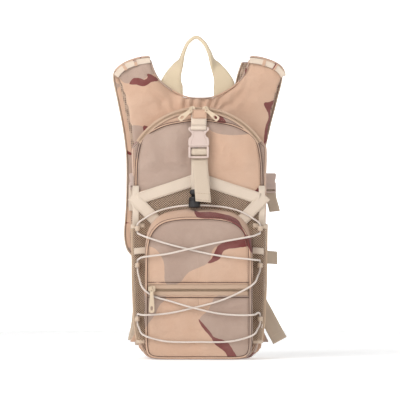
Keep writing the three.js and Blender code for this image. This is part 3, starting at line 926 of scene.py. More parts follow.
def teeth(name, line, out, body="pack", stands_for=()):
    """A coil zip: a row of small loops across a line."""
    line = np.asarray(line, float)
    out = unit(np.asarray(out, float))
    run = lengths(line)
    parts = []
    for k, mark in enumerate(np.arange(0.8, run[-1] - 0.6, 1.05)):
        here = np.array([np.interp(mark, run, line[:, i]) for i in range(3)])
        ahead = unit(np.array([np.interp(mark + 0.5, run, line[:, i]) for i in range(3)]) - here)
        other = np.cross(out, ahead) * (1 if k % 2 else -1)
        path = [here - other * 0.9, here + other * 0.5 + out * 0.75, here + other * 2.1 + out * 0.35,
                here + other * 2.3]
        parts.append(rod(path, 0.42, 5)[:2])
    return made(name, *joined(parts), "coil", body=body, slot="zip_tape", stands_for=stands_for)


def pull_plate(length, half, hole_low, hole_high):
    """A zip pull that hangs down from z = 0, narrow at the top, with an oval hole near its end."""
    edge = [(half * 0.62, 1), (half * 0.7, -length * 0.3), (half, -length * 0.72), (half, -length + 2.4),
            (half * 0.72, -length + 0.6), (0, -length)]
    outline = edge + [(-x, z) for x, z in edge[-2::-1]]
    middle = (hole_low + hole_high) / 2
    hole = circle(0, middle, half * 0.5, 14, (hole_high - hole_low) / half)
    slot = rounded_box((-half * 0.3, -2.6), (half * 0.3, -0.4), half * 0.2, 2)
    return plate_with_holes(outline, [hole, slot], -1, 1)


def slider_outline(half=5.0, length=5.8):
    """A zip slider seen from the front, with round shoulders."""
    outline = [(-half * 0.66, -length), (half * 0.66, -length), (half, length * 0.1), (half * 0.92, length * 0.8),
               (half * 0.4, length), (-half * 0.4, length), (-half * 0.92, length * 0.8), (-half, length * 0.1)]
    return outline


def place_parts(parts, degrees, move):
    verts, faces = parts
    return turned(verts, (0, 0, 0), degrees) + move, faces


def make_main_zip():
    for name, radius in (("zip_tape_outer", 118.4), ("zip_tape_inner", 113.4)):
        ring = arch_points(radius, -57, 57, 90)
        line = [(x, -21.4, z) for x, z in ring]
        across = [(x, 0, z - ARCH_Z) for x, z in ring]
        webbing(name, line, across, 2.0, 0.7, "tape", "zip_tape")
    teeth("main_zip_coil", [(x, -21.6, z) for x, z in arch_points(115.9, -56, 56, 120)], FRONT,
          stands_for=["main_zip"])
    for name, side in (("left", -1), ("right", 1)):
        angle = side * 5.2
        (x, z), = arch_points(116, angle, angle, 1)
        bridge = [(0, -28, 4.2), (0, -29.8, 3.2), (0, -30.2, 0), (0, -29.8, -3.2), (0, -28, -4.2)]
        parts = joined([plate(slider_outline(), -28.2, -26.4), plate(slider_outline(), -24.4, -22.4),
                        plate(rounded_box((-1.4, 0.6), (1.4, 3.8), 0.8, 2), -26.6, -24.2), rod(bridge, 0.9, 8)[:2]])
        hard(f"slider_{name}", place_parts(parts, angle, (x, 0, z)), (0.4,), "enamel", "zip_metal",
             body=f"slider_{name}", stands_for=[f"main_slider_{name}"])
        parts = place_parts(pull_plate(25.5, 4.5, -22.3, -15.5), side * -51, (x + side * 1.5, -31.4, z))
        hard(f"zip_pull_{name}", parts, (0.45, 3), "enamel", "zip_metal", body=f"pull_{name}",
             stands_for=[f"main_pull_{name}"])


def make_pocket_zip():
    for name, low, high in (("pocket_tape_upper", 112.6, 121.8), ("pocket_tape_lower", 101.2, 110.0)):
        line = [(x, -58.9, (low + high) / 2) for x in np.linspace(-81, 81, 70)]
        webbing(name, line, (0, 0, 1), (high - low) / 2, 1.0, "tape", "zip_tape")
    teeth("pocket_zip_coil", [(x, -59.5, 111.3) for x in np.linspace(-80, 80, 60)], FRONT,
          stands_for=["pocket_zip"])
    outline = [(x, z) for z, x in slider_outline()]
    bridge = [(0, -65.8, 4.4), (0, -68.9, 3.4), (0, -69.5, 0), (0, -68.9, -3.4), (0, -65.8, -4.4)]
    parts = joined([plate(outline, -66.0, -64.2), plate(outline, -62.9, -61.6),
                    plate(rounded_box((-4.6, -1.6), (-1.0, 1.6), 0.8, 2), -64.4, -62.7), rod(bridge, 0.95, 8)[:2]])
    hard("pocket_slider_body", place_parts(parts, 0, (-74, 0, 113.2)), (0.45,), "enamel", "zip_metal",
         body="pocket_slider", stands_for=["pocket_slider"])
    parts = place_parts(pull_plate(37, 4.3, -33, -26), 0, (-74, -71, 112))
    hard("pocket_pull_plate", parts, (0.5, 3), "enamel", "zip_metal", body="pocket_pull", stands_for=["pocket_pull"])


# ---------------------------------------------------------------- centre strap and buckle


def carve(piece, cutters):
    """Cuts solids out of a piece, one after another."""
    for verts, faces in cutters:
        cutter = made("cutter", verts, faces, "buckle", body=None, smooth=False)
        modifier(piece, "BOOLEAN", operation="DIFFERENCE", object=cutter, solver="EXACT")
        bake(piece)
        bpy.data.objects.remove(cutter)


def block(x0, x1, y0, y1, z0, z1):
    return plate([(x0, z0), (x1, z0), (x1, z1), (x0, z1)], y0, y1)


def make_centre_strap():
    fold = [(-25.2, 392), (-26.2, 384), (-26.7, 376), (-27.2, 370.5), (-30, 367.6), (-35, 367.2), (-38.8, 368.4),
            (-39.6, 370.6), (-38.8, 373.2), (-34, 374.6), (-29.6, 376), (-28.3, 380), (-28, 387)]
    line = [(0, y, z) for y, z in curve_through(fold, 5)]
    webbing("upper_strap", line, (1, 0, 0), WEB_HALF, WEB_THICK, stands_for=["upper_webbing"])
    tab = plate(rounded_box((-10.4, 385.6), (12.6, 400.2), 1.6, 3), -29.9, -28.5)
    bevelled(cloth("zip_tab_cloth", *tab, stands_for=["zip_tab"]), 0.6)
    box_line = rounded_box((-8.6, 387.4), (10.8, 398.4), 0.6, 1)
    stitches("zip_tab_stitches", [[(x, -30.0, z) for x, z in [*box_line, box_line[0]]]], FRONT, pitch=2.4,
             length=1.7, finish="dark_thread", slot="camo_fabric")
    load = [(-26.6, 262), (-26.9, 280), (-27.2, 296), (-26.8, 312), (-26.6, 322), (-28.4, 328.5), (-31, 332),
            (-33, 337.4)]
    line = [(0.4, y, z) for y, z in curve_through(load, 6)]
    lower = webbing("load_strap", line, (1, 0, 0), WEB_HALF, WEB_THICK, body=None, stands_for=["lower_webbing"])
    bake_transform(lower)
    over = [(-29.5, 337.6), (-33, 337.5), (-35.6, 336.2), (-36.3, 332.2), (-35.6, 328.6), (-33, 327.6), (-30.8, 326),
            (-30.4, 323.4), (-31.4, 320.6), (-34.4, 316.6), (-38.4, 310), (-42.2, 300), (-45.6, 284), (-48.0, 266),
            (-49.4, 252.2)]
    line = curve_through([(1.2 + max(0, 326 - z) * 0.092, y, z) for y, z in over], 7)
    across = [(1, 0, -0.09 if p[2] < 318 else 0) for p in line]
    tail = webbing("loose_tail", line, across, 12.6, 1.5, "shaded_cream", body=None, stands_for=["webbing_tail"])
    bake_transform(tail)
    hem = curve_through([(8.2, -47.0, 252.8), (7.5, -46.2, 260), (6.8, -45.3, 267)], 6)
    back = webbing("tail_hem", hem, (1, 0, -0.09), WEB_HALF, WEB_THICK)
    rows = [[(-4.4, -48.9, 266.6), (18.2, -48.9, 264.6)], [(-3.6, -50.1, 256), (19.2, -50.1, 254)]]
    stitches("tail_stitches", rows, (0, -1, 0.1), pitch=2.6, length=1.9, finish="dark_thread")


def make_buckle():
    front, back = -38.0, -28.0
    edge = [(0, 372.6), (11.5, 372.6), (15.6, 371.8), (16.6, 369.6), (16.0, 366.8), (13.6, 364.8), (11.4, 362.4),
            (10.8, 359.4), (12.6, 356.8), (15.6, 354.4), (16.5, 350.6), (16.6, 345), (16, 342.2), (14.6,
                                                                                                   341.8), (0, 341.8)]
    outline = edge + [(-x, z) for x, z in edge[-2:0:-1]]
    slot = rounded_box((-13, 366.4), (13, 369.2), 1.2, 2)
    female = made("buckle_socket", *plate_with_holes(outline, [slot], front, back), "buckle", smooth=False,
                  stands_for=["buckle_female"], slot="buckle_plastic")
    carve(female, [block(-12.9, 12.9, front + 2.2, back - 1.8, 340, 363), block(-18, 18, front + 2.2, back - 1.8,
                                                                                347, 360)])
    bevelled(female, 0.8, 3)
    rim = [rod([(x, front - 0.05, z) for x, z in curve_through([(s * 7.6, 364.6), (s * 8.4, 358), (s * 11.2, 352),
                                                                 (s * 12.4, 345)], 5)], 0.6, 8)[:2] for s in (-1, 1)]
    rim.append(rod([(x, front - 0.05, 364.8) for x in (-7.4, 0, 7.4)], 0.6, 8)[:2])
    made("buckle_ridges", *joined(rim), "buckle", slot="buckle_plastic")
    rail = [(12.9, 322.4), (15.2, 322.4), (16.4, 324.6), (16.5, 338), (16.2, 340.6), (14.8, 341.4), (12.9, 341.4)]
    parts = [plate(mirror(rail, side), front + 0.6, back) for side in (-1, 1)]
    parts += [block(-13, 13, front + 0.6, back + 0.4, 339.4, 341.4), block(-13, 13, front + 0.6, -34.4, 322.2, 325.4),
              block(-13, 13, -34.4, -31.2, 329.4, 335.6), block(-2.5, 2.5, -34.5, -31.5, 341.2, 359.6)]
    hard("buckle_tongue", joined(parts), (0.6,), body="buckle_male", stands_for=["buckle_male"])
    for name, side in (("left", -1), ("right", 1)):
        shape = [(6.8, 341.6), (12.0, 341.6), (12.7, 347.5), (12.5, 355), (11, 361.6), (8.4, 362.2), (7.2, 358),
                 (6.4, 350)]
        hard(f"buckle_arm_{name}", plate(mirror(shape, side), -35, -30.6), (0.7, 3), body=f"prong_{name}",
             stands_for=[f"buckle_prong_{name}"])


def make_chevrons():
    rows = []
    for name, side in (("left", -1), ("right", 1)):
        ends = [(6, 288.6), (13.4, 285), (40, 276), (70, 266.2), (97, 257.4)]
        line = curve_through([(side * x, -26.5 + 0.4 * math.sin(x / 9), z) for x, z in ends], 8)
        webbing(f"chevron_strap_{name}", line, (side * 0.33, 0, 1), 9.4, 1.5, stands_for=[f"chevron_{name}"])
        for shift in (-7.4, 7.4):
            rows.append([p + (side * 0.33 * shift * 0.3, -0.9, shift * 0.95) for p in line[6:]])
        line = curve_through([(side * x, y, z) for x, y, z in ((107.4, -24.6, 262), (97, -27.2, 251), (84, -27.8,
                                                                                                       238),
                                                               (69, -26.8, 222))], 8)
        webbing(f"side_strap_{name}", line, (side * 0.71, 0, -0.70), 9.4, 1.5, stands_for=[f"diagonal_{name}"])
        rows += [[p + (side * 0.71 * shift, -1.0, -0.70 * shift) for p in line] for shift in (-7.2, 7.2)]
        line = [(side * 101.2, -25.6, z) for z in (278, 256, 236, 214)]
        webbing(f"seam_strap_{name}", line, (1, 0, 0), 5.2, 1.3)
    stitches("chevron_stitches", rows, FRONT)


# ---------------------------------------------------------------- netting


def net(name, low, high, cell, to_space, keep, **rest):
    """Knitted netting: diamond holes over a flat region, laid on a surface by to_space."""
    half_u, half_v = cell[0] / 2, cell[1] / 2
    spots, verts, faces = {}, [], []

    def spot(i, j):
        if (i, j) not in spots:
            spots[i, j] = len(verts)
            verts.append(to_space(low[0] + i * half_u, low[1] + j * half_v))
        return spots[i, j]

    for i in range(1, int((high[0] - low[0]) / half_u)):
        for j in range(1, int((high[1] - low[1]) / half_v)):
            if (i + j) % 2 and keep(low[0] + i * half_u, low[1] + j * half_v):
                faces.append((spot(i - 1, j), spot(i, j - 1), spot(i + 1, j), spot(i, j + 1)))
    piece = made(name, verts, faces, "netting", slot="netting", smooth=False, **rest)
    modifier(piece, "WIREFRAME", thickness=0.95 * MM, use_even_offset=False, use_boundary=True)
    return piece


def make_netting():
    def over_pocket(x, z):
        top = np.interp(abs(x), [0, 97], [287, 256])
        floor = np.interp(abs(x), [0, 28, 55, 73, 82, 97], [241, 240, 234, 221, 204, 196])
        return floor < z < top

    upper = net("upper_net", (-98, 190), (98, 290), (4.1, 3.6), lambda x, z: (x, -25.0 + 0.3 * math.sin(x / 7), z),
                over_pocket, stands_for=["upper_mesh"])
    for name, side in (("left", -1), ("right", 1)):
        path = curve_through([(86, -25.2), (94, -25.4), (101, -24.4), (106, -20.4), (108.6, -13), (109.4, 0),
                              (109.2, 15),
                              (107.6, 28), (105.4, 33.4)], 8)
        run = lengths(path)

        def on_side(u, z, path=path, run=run, side=side):
            lean = np.interp(z, [20, 60, 120, 212], [-9, -3.4, -1.0, 0])
            x, y = np.interp(u, run, path[:, 0]), np.interp(u, run, path[:, 1])
            return side * (x + lean * min(u / 20, 1)), y, z

        def keep(u, z):
            return z < 214 - 2.5 * math.sin(u / 30) and z > 28

        mesh = net(f"side_net_{name}", (0, 24), (run[-1], 218), (4.1, 3.6), on_side, keep,
                   stands_for=[f"side_mesh_{name}"])
        hem = [on_side(u, 214.5 - 2.5 * math.sin(u / 30)) for u in np.linspace(1, run[-1], 40)]
        webbing(f"net_hem_{name}", hem, (0, 0, 1), 3.6, 1.6, "binding", "camo_fabric")
        foot = [on_side(u, 27.5) for u in np.linspace(1, run[-1], 40)]
        webbing(f"net_foot_{name}", foot, (0, 0, 1), 2.6, 1.6, "binding", "camo_fabric")
        tab = curve_through([(side * 86, -27.2, 174.5), (side * 95, -27.8, 173.6), (side * 104, -25.6, 172.8)], 6)
        webbing(f"net_tab_{name}", tab, (0, 0, 1), 5.2, 1.5)
        stitches(f"net_tab_stitches_{name}", [[p + (0, -0.9, s) for p in tab] for s in (-3.8, 3.8)], FRONT)


# ---------------------------------------------------------------- bungee and cord lock

BUNGEE_ROUTE = [
    (-5, -35, 246.5), (-16, -35, 246.5), (-42, -31, 243.5), (-66, -30, 237), (-86, -30, 226),
    (-98, -30, 216.5), (-98, -30, 202.5), (-95, -46, 201), (-88, -63, 198), (-55, -63.2, 187),
    (-16, -63.2, 176.8), (30, -63.2, 167), (88, -63, 160), (95, -46, 159), (98, -31, 157.5),
    (98, -31, 143.5), (95, -46, 134), (88, -63, 121), (42, -63.2, 97), (-7.5, -63.2, 83),
    (-50, -63.2, 74), (-88, -63, 71.5), (-95, -46, 72.5), (-98, -31, 71.5), (-98, -31, 57.5),
    (-95, -46, 50), (-88, -63, 40), (-55, -63.2, 30), (0, -63.2, 28.5), (55, -63.2, 30),
    (88, -63, 40), (95, -46, 50), (98, -31, 57.5), (98, -31, 71.5), (95, -46, 75),
    (88, -63, 72), (40, -63.4, 73), (-7.5, -66.8, 83), (-42, -64, 93), (-72, -63.4, 102),
    (-88, -63, 114), (-95, -46, 131), (-98, -31, 143.5), (-98, -31, 157.5), (-95, -46, 161),
    (-88, -63, 164), (-48, -64, 169.5), (-16, -66.8, 176.8), (30, -64, 187), (88, -63, 198),
    (95, -46, 201), (98, -30, 202.5), (98, -30, 216.5), (86, -30, 226), (66, -30, 237),
    (42, -31, 243.5), (10, -35, 246.5), (-1.5, -35, 246.5),
]


def centripetal(points, steps):
    """The same curve as the CAD cord's: a centripetal Catmull-Rom through the points."""
    points = np.asarray(points, float)
    padded = np.vstack([2 * points[0] - points[1], points, 2 * points[-1] - points[-2]])
    result = []
    for i in range(len(points) - 1):
        p = padded[i:i + 4]
        t = np.concatenate([[0], np.cumsum(np.linalg.norm(np.diff(p, axis=0), axis=1) ** 0.5)])
        for u in t[1] + (t[2] - t[1]) * np.arange(steps) / steps:
            a = [p[k] + (p[k + 1] - p[k]) * (u - t[k]) / (t[k + 1] - t[k]) for k in range(3)]
            b = [a[k] + (a[k + 1] - a[k]) * (u - t[k]) / (t[k + 2] - t[k]) for k in range(2)]
            result.append(b[0] + (b[1] - b[0]) * (u - t[1]) / (t[2] - t[1]))
    return np.array([*result, points[-1]])


def lathe(profile, centre, sides=40):
    """A turned solid about an upright axis, from (radius, height) points."""
    rings = []
    for radius, z in profile:
        angles = np.arange(sides) * 2 * math.pi / sides
        rings.append(np.column_stack([centre[0] + radius * np.cos(angles), centre[1] + radius * np.sin(angles),
                                      np.full(sides, z)]))
    return np.vstack(rings), tube(len(rings), sides)


def make_cord():
    verts, faces, held = rod(centripetal(BUNGEE_ROUTE, 10), CORD_RADIUS, 14)
    made("bungee", verts, faces, "bungee", slot="bungee", stands_for=["bungee_cord"], held=held)
    for name, side in (("left", -1), ("right", 1)):
        for place, low in (("top", 205), ("middle", 146), ("bottom", 60)):
            around = [(101.5, -17.5), (101.6, -22), (101.8, -27), (100.6, -31.8), (98, -33.2), (95.2, -31.8),
                      (94.6, -28.6),
                      (95.8, -25.6), (99.6, -22.4), (100.2, -18)]
            line = [(side * x, y, low + 4.5) for x, y in curve_through(around, 6)]
            webbing(f"loop_{name}_{place}", line, (0, 0, 1), 3.8, 1.1, "binding", "camo_fabric",
                    stands_for=[f"cord_loop_{name}_{place}"])
    centre = (-7.0, -35.0)
    barrel = [(7.4, 242.6), (8.8, 243.2), (9.4, 245), (9.2, 252), (8.1, 253.6), (8.1, 258.6), (7.6, 260),
              (6.9, 260.5),
              (5.4, 260.5), (5.4, 250), (0.4, 249.6)]
    bored = made("lock_barrel", *lathe(barrel, centre, 48), "black", stands_for=["cord_lock_barrel"],
                 slot="black_plastic")
    modifier(bored, "WEIGHTED_NORMAL")
    ribs = []
    for a in np.radians(np.arange(0, 360, 15)):
        x, y = centre[0] + 8.2 * math.cos(a), centre[1] + 8.2 * math.sin(a)
        ribs.append(rod([(x, y, 253.8), (x, y, 258.4)], 0.42, 6)[:2])
    made("lock_ribs", *joined(ribs), "black", slot="black_plastic")
    turns = np.linspace(0, 3 * 2 * math.pi, 72)
    coil = np.column_stack([centre[0] + 3.9 * np.cos(turns), centre[1] + 3.9 * np.sin(turns),
                            np.linspace(250.2, 254.2, 72)])
    verts, faces, _ = rod(coil, 0.4, 8)
    spring = made("lock_spring", verts, faces, "enamel", stands_for=["cord_lock_spring"], slot="zip_metal")
    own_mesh(spring)
    knob = [(0.4, 255.2), (4.9, 255.2), (4.9, 263.8), (6.4, 264.2), (7.3, 265.2), (7.6, 267.4), (7.3, 269.8),
            (6.2, 271.4),
            (4.2, 272.2), (0.4, 272.4)]
    made("lock_knob", *lathe(knob, centre, 48), "black", body="plunger", stands_for=["cord_lock_plunger"],
         slot="black_plastic")


# ---------------------------------------------------------------- back, straps and handle

NECK_RIGHT = [(0, 421.5), (16, 422.4), (30, 426.6), (44, 434), (56, 442), (67, 453), (75, 468), (80, 483)]
BACK_RIGHT = [*curve_through(NECK_RIGHT, 4), (92, 483), (106, 481), (120, 476), (131, 469), (137.5, 459.5),
              (133, 450),
              (127, 434), (122, 415), (118, 396), (114, 372), (110, 346), (107, 322), (104, 250), (104, 22),
              (98, 8), (86, 1)]


def stuffed(name, outline, front, back, voxel, **rest):
    """A padded piece: its outline as a plate, blown up a little by cloth simulation."""
    piece = made(name, *plate(outline, front, back), "camo", **rest)
    modifier(piece, "REMESH", mode="VOXEL", voxel_size=voxel * MM)
    bake(piece)
    inflate(piece)
    piece.data.polygons.foreach_set("use_smooth", [True] * len(piece.data.polygons))
    modifier(piece, "SMOOTH", factor=0.5, iterations=3)
    modifier(piece, "SUBSURF", levels=1, render_levels=1)
    bake(piece)
    return piece


def inflate(piece, push=4.0, limit=1.4, moments=20):
    """Presses a piece outward from inside, and keeps each point within a limit of its place."""
    flat = np.array([v.co for v in piece.data.vertices])
    air = modifier(piece, "CLOTH")
    air.settings.use_pressure = True
    air.settings.uniform_pressure_force = push
    air.settings.mass = 0.3
    air.settings.effector_weights.gravity = 0
    air.point_cache.frame_start, air.point_cache.frame_end = 1, moments
    scene = bpy.context.scene
    for moment in range(1, moments + 1):
        scene.frame_set(moment)
    depsgraph = bpy.context.evaluated_depsgraph_get()
    full = np.array([v.co for v in piece.evaluated_get(depsgraph).data.vertices])
    piece.modifiers.remove(air)
    scene.frame_set(1)
    moved = full - flat
    size = np.linalg.norm(moved, axis=1, keepdims=True)
    moved *= np.minimum(1, limit * MM / np.maximum(size, 1e-9))
    piece.data.vertices.foreach_set("co", (flat + moved).ravel())
    piece.data.update()


def make_back():
    outline = BACK_RIGHT + [(-x, z) for x, z in BACK_RIGHT[:0:-1]]
    panel = stuffed("back_cushion", outline, 36.4, 44.6, 5.0, stands_for=["back_panel"], slot="camo_fabric")
    points = np.array([v.co for v in panel.data.vertices]) / MM
    x, z = points[:, 0], points[:, 2]
    angle = np.arctan2(x, z - 350)
    edge = np.clip((z - 392) / 20, 0, 1) * np.clip((44 - points[:, 1]) / 5, 0, 1)
    puckers = np.sin(angle * 30 + ripple(points, 34, 4.5, 1)) * np.exp(-((np.abs(x) - 14) / 50) ** 2)
    points[:, 1] += edge * (puckers * 3.2 + ripple(points, 38, 3.6, 6) + ripple(points, 15, 1.6, 12))
    panel.data.vertices.foreach_set("co", (points * MM).ravel())
    print_camo(panel, "yoke", 3.0)
    for name, side in (("left", -1), ("right", 1)):
        shape = mirror(rounded_box((7, 61), (53, 371), 12, 5), side)
        pad = stuffed(f"back_foam_{name}", shape, 46.6, 51.4, 4.0, stands_for=[f"back_pad_{name}"],
                      slot="spacer_mesh")
        pad.data.materials.clear()
        pad.data.materials.append(FINISHES["lining"])
    line = curve_through([(-x, 37.0, z - 2.4) for x, z in NECK_RIGHT[:0:-1]] + [(x, 37.0, z - 2.4) for x,
                                                                                z in NECK_RIGHT], 8)
    cloth("neck_piping", *rod(line, 1.3, 8)[:2])


STRAP_LINE = [(478, 52), (458, 56), (440, 58), (390, 67), (330, 72.5), (270, 73.5), (210, 70), (164, 65)]
STRAP_EDGES = {
    "left": ([(478, -121), (459, -140), (415, -133.5), (370, -125), (320, -119.5), (250, -120), (200, -123),
              (176, -119), (164, -110)],
             [(478, -82), (450, -75), (400, -67), (330, -59), (250, -57), (190, -60), (172, -68), (164, -79)]),
    "right": ([(478, 115), (459, 132), (415, 123), (370, 111.5), (320, 102), (250, 99.5), (200, 100.5), (176, 96),
               (164, 89)],
              [(478, 68), (450, 59), (400, 52), (330, 47), (250, 43), (190, 45.5), (172, 52), (164, 61)]),
}
LOCK_X = {"left": -93.0, "right": 75.0}


def at_height(pairs, heights):
    """The value at each height, from (height, value) pairs that go down."""
    pairs = curve_through(pairs, 10)[::-1]
    return np.interp(heights, pairs[:, 0], pairs[:, 1])


def strap_rows(edges, inset, thick, shift, count=90, sides=28, low=164.6, high=477.5):
    heights = np.linspace(high, low, count)
    outer, inner = at_height(edges[0], heights), at_height(edges[1], heights)
    middle, half = (outer + inner) / 2, np.abs(outer - inner) / 2 - inset
    depth = at_height(STRAP_LINE, heights) + shift
    angles = np.arange(sides) * 2 * math.pi / sides
    across = np.sign(np.cos(angles)) * np.abs(np.cos(angles)) ** 0.55
    out = np.sign(np.sin(angles)) * np.abs(np.sin(angles)) ** 0.9
    rows = []
    for i, z in enumerate(heights):
        ends = min(1.0, math.sqrt(max(0.02, min(i, count - 1 - i) / 4.0)))
        rows.append(np.column_stack([middle[i] + half[i] * across, depth[i] + thick / 2 * ends * out,
                                     np.full(sides, z)]))
    return np.vstack(rows), tube(count, sides), (heights, outer, inner, depth)


def make_strap(name, side):
    body = f"strap_{name}"
    verts, faces, (heights, outer, inner, depth) = strap_rows(STRAP_EDGES[name], 1.0, 9.6, 0)
    verts[:, 1] += ripple(verts, 45, 1.2, side + 3)
    strap = cloth(f"strap_{name}", verts, faces, seed=20.0 + side, body=body,
                  stands_for=[f"shoulder_strap_{name}"])
    verts, faces, _ = strap_rows(STRAP_EDGES[name], 9.0 if side < 0 else 3.0, 3.4, -4.0, low=176, high=476.5)
    made(f"strap_lining_{name}", verts, faces, "lining", body=body, slot="spacer_mesh")
    edge = [*zip(outer, depth, heights), *list(zip(inner, depth, heights))[::-1]]
    line = spaced(edge, 240)
    webbing(f"strap_binding_{name}", line, (0, 1, 0), 3.6, 2.2, "binding", "camo_fabric", body=body)
    top = curve_through([(81, 484.6), (96, 483), (108, 480), (121, 475), (132, 467.5), (138, 457.5)], 8)
    arc = np.radians(np.linspace(-20, 200, 13))
    rows = []
    for i, (x, z) in enumerate(top):
        ring = np.array([(side * x, 45.6 - 11.2 * math.cos(a), z - 3 + 6.6 * math.sin(a)) for a in arc])
        drawn_in = min(1.0, math.sqrt(0.3 + 0.25 * min(i, len(top) - 1 - i)))
        rows.append(ring.mean(axis=0) + (ring - ring.mean(axis=0)) * drawn_in)
    roll = cloth(f"strap_fold_{name}", np.vstack(rows), tube(len(rows), len(arc)), seed=2.0, body=None)
    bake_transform(roll)
    band = [(80, 480.4), (98, 477.8), (113, 473), (126, 466), (135.5, 455)]
    # A thin dark-brown rod along the crest: a painted shadow line in the crease above the top webbing.
    crest = curve_through([(side * x, 36.4, z + 4.6) for x, z in band], 8)
    piping(f"strap_crease_shadow_{name}", crest, 0.8, "edge")
    line = curve_through([(side * x, 33.6, z) for x, z in band], 8)
    across = unit(np.cross(np.gradient(line, axis=0), (0, 1, 0)))
    webbing(f"strap_top_{name}", line, across, 4.6, 1.6, stands_for=[f"strap_top_webbing_{name}"])
    for i, mark in enumerate((11, 21)):
        here = line[mark]
        patch = plate([(-2.4, -5.4), (2.4, -5.4), (2.4, 5.4), (-2.4, 5.4)], -0.7, 0.7)
        lean = math.degrees(math.atan2(line[mark + 1][2] - here[2], line[mark + 1][0] - here[0]))
        verts = turned(patch[0], (0, 0, 0), -lean if side > 0 else -lean + 180) + here + (0, -1.1, 0)
        bevelled(cloth(f"strap_keeper_{name}_{i}", verts, patch[1]), 0.4)
    make_adjuster(name, body)


TAIL_LINES = {"left": [(-93.5, 63.2, 156), (-93.5, 64.2, 137), (-95, 63, 104), (-99.5, 62.5, 56),
                       (-105.5, 62.5, 25.6)],
              "right": [(75.5, 63.2, 156), (77, 64.2, 137), (87, 63, 106), (108, 62.5, 66), (129, 62.5, 27)]}


def make_adjuster(name, body):
    x = LOCK_X[name]
    outline = [(-13.5, 137.6), (13.5, 137.6), (16.4, 140.4), (16.4, 158), (14.6, 160), (-14.6, 160), (-16.4, 158),
               (-16.4, 140.4)]
    slots = [rounded_box((-13, 153), (13, 156.2), 1.3, 2), rounded_box((-13, 142), (13, 145.2), 1.3, 2)]
    parts = place_parts(plate_with_holes(outline, slots, 60.2, 65.4), 0, (x, 0, 0))
    hard(f"ladder_{name}", parts, (0.7, 3), body=body, stands_for=[f"ladder_lock_{name}"])
    anchor = curve_through([(x, 69, 176), (x, 67.2, 166), (x, 66.2, 158), (x, 63, 154.6), (x, 59.6, 157),
                            (x, 60, 166)], 6)
    webbing(f"lock_anchor_{name}", anchor, (1, 0, 0), WEB_HALF, WEB_THICK, body=body)
    load = curve_through([(x, 47.2, 20), (x, 48.6, 60), (x, 52, 98), (x, 57, 132), (x, 59.4, 141)], 8)
    piece = webbing(f"lower_strap_{name}", load, (1, 0, 0), WEB_HALF, WEB_THICK, body=None,
                    stands_for=[f"adjuster_webbing_{name}"])
    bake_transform(piece)
    line = curve_through(TAIL_LINES[name], 10)
    across = unit(np.cross(np.gradient(line, axis=0), (0, 1, 0)))
    tail = webbing(f"adjuster_end_{name}", line, across, WEB_HALF, WEB_THICK, "shaded_cream", body=body,
                   stands_for=[f"adjuster_tail_{name}"])
    end, ahead = line[-1], unit(line[-1] - line[-6])
    rows = [[end - ahead * d + across[-1] * s for s in (-10.5, 10.5)] for d in (3, 12)]
    stitches(f"adjuster_hem_{name}", [[p + (0, -1.0, 0) for p in row] for row in rows], FRONT, body=body, pitch=2.6,
             length=1.9)


def make_sternum():
    for name, node, x, z0, z1, slot_low in (("left", "sternum_buckle_male", -106.0, 272, 298, 275),
                                            ("right", "sternum_buckle_female", 113.5, 266, 298, 269)):
        half = 9.2
        edge = [(half - 1.4, z1), (half, z1 - 2), (half - 0.8, z1 - 9), (half - 2, z1 - 13), (half - 0.4, z1 - 16),
                (half, z0 + 2), (half - 1.6, z0)]
        outline = edge + [(-px, pz) for px, pz in edge[::-1]]
        slot = rounded_box((-6.4, slot_low), (6.4, slot_low + 3), 1.2, 2)
        parts = place_parts(plate_with_holes(outline, [slot], 60.4, 66.8), 0, (x, 0, 0))
        hard(f"sternum_clip_{name}", parts, (0.8, 3), body=f"sternum_{name}", stands_for=[node])
    line = curve_through([(-106.5, 64.6, 279), (-106.5, 66.0, 272), (-106.5, 64.2, 262), (-106.8, 63.6, 250),
                          (-106.4, 63.4, 237)], 6)
    left = webbing("sternum_band_left", line, (1, 0, 0), 9.4, 1.4, body="sternum_left",
                   stands_for=["sternum_webbing_left"])
    line = curve_through([(113.5, 64.6, 273), (113.8, 66.0, 266), (115, 64.8, 256), (118, 63.8, 246),
                          (120.4, 63.2, 236)], 6)
    right = webbing("sternum_band_right", line, (1, 0, 0.1), 8.6, 1.4, "shaded_cream", body="sternum_right",
                    stands_for=["sternum_webbing_right"])
    line = curve_through([(104, 35.4, 163), (110, 36.4, 162.4), (118, 37.2, 161.8), (125, 37.4, 161.2)], 6)
    webbing("side_tab", line, (0, 0, 1), 10.4, 1.6, "shaded_cream", stands_for=["side_tab_right"])
    for name, side, corner in (("left", -1, (-113.0, 25.6)), ("right", 1, (111, 25.6))):
        shape = [(side * 88, 52), (side * 100, 48), corner, (side * 90, 25.6)]
        verts, faces = plate(shape, 34.2, 45)
        bevelled(cloth(f"strap_base_{name}", verts, faces, seed=6.0), 1.2)


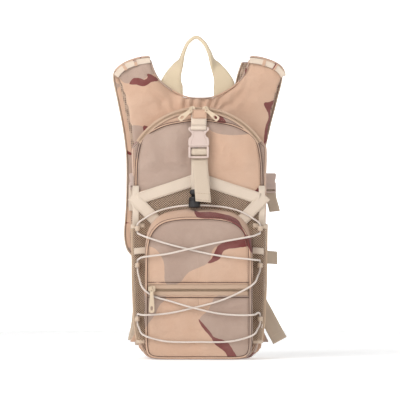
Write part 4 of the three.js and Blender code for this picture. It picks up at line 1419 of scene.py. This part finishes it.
def make_handle():
    stations = [(-42, 47.0, 418, 0, 15), (-46.4, 47.2, 438, 0, 18.4), (-44.2, 47.4, 453, 0.05, 14.2),
                (-38, 47.8, 467, 0.25, 10.0), (-31, 48.8, 480, 1.25, 8.6), (-26.6, 49.2, 494, 1.46, 8.0),
                (-19.4, 49.4, 509, 1.5, 7.6), (-6.4, 49.6, 517.8, 1.5, 7.4), (5.6, 49.4, 509.6, 1.5, 7.6),
                (14.2, 49.2, 494.6, 1.46, 8.0), (19.6, 48.8, 480, 1.25, 8.6), (27.6, 47.8, 467, 0.25, 10.0),
                (35, 47.4, 453, 0.05, 13.8), (39, 47.2, 438, 0, 17.4), (37, 47.0, 418, 0, 15)]
    curve = curve_through(stations, 10)
    line, turn, half = curve[:, :3], curve[:, 3], curve[:, 4]
    ahead = unit(np.gradient(line, axis=0))
    in_front = unit(np.cross(ahead, (0, 1, 0)))
    across = in_front * np.cos(turn)[:, None] + np.array((0, 1, 0)) * np.sin(turn)[:, None]
    verts, faces, held = strip(line, across, half, 2.4)
    thick = np.repeat(np.interp(turn, [0, 0.4, 1.3], [0, 0.4, 1.3]), 14)
    middle = np.repeat(line, 14, axis=0)
    up = unit(np.cross(np.repeat(across, 14, axis=0), np.repeat(ahead, 14, axis=0)))
    verts = verts + up * (np.sign(((verts - middle) * up).sum(1)) * thick)[:, None]
    grip = made("handle_webbing", verts, faces, "handle", body=None, slot="handle_webbing",
                stands_for=["grab_handle"],
                held=held)
    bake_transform(grip)
    rows = [[(-10.4, y, 515.2) for y in (44.4, 50)]]
    stitches("handle_tacks", rows, (0, 0, 1), body="handle", finish="edge", pitch=1.6, length=1.3,
             slot="handle_webbing")


def make_bladder():
    right = [(0, 21), (40, 21), (62, 23), (73, 34), (75, 60), (75, 160), (74, 240), (66, 285), (44, 308), (0, 316)]
    ring = full_ring(right, 120)
    front = [lifted(r, 18 - 11.0 * math.sin(min(t * 2.2, 1) * math.pi / 2)) for t, r in disc_rows(ring, 80, 250, 16)]
    back = [lifted(r, 18 + 11.0 * math.sin(min(t * 2.2, 1) * math.pi / 2)) for t, r in disc_rows(ring, 80, 250, 16)]
    verts, faces = loft(front, back)
    bag = welded(made("bladder", verts, faces, "film", stands_for=["water_bladder"], slot="bladder_film"))
    profile = [(0.5, 0), (22, 0), (26, -1.4), (26.8, -4), (26.8, -9.6), (25, -11.6), (0.5, -12)]
    rings = []
    for radius, y in profile:
        angles = np.arange(60) * 2 * math.pi / 60
        wave = radius + (0.5 * np.cos(angles * 15) if radius > 25.5 else 0)
        rings.append(np.column_stack([wave * np.cos(angles), np.full(60, 5.4 + y), 270 + wave * np.sin(angles)]))
    faces = tube(len(rings), 60)
    grip = plate(rounded_box((-20, 267.4), (20, 272.6), 2, 3), -10, -5)
    made("bladder_cap_disc", *joined([(np.vstack(rings), faces), grip]), "black", body="cap",
         stands_for=["bladder_cap"], slot="cap_plastic")


set_camera()
set_studio()
make_finishes()
make_cord()
make_bag()
make_pocket()
make_main_zip()
make_pocket_zip()
make_centre_strap()
make_buckle()
make_chevrons()
make_netting()
make_back()
for strap_name, strap_side in (("left", -1), ("right", 1)):
    make_strap(strap_name, strap_side)
make_sternum()
make_handle()
make_bladder()
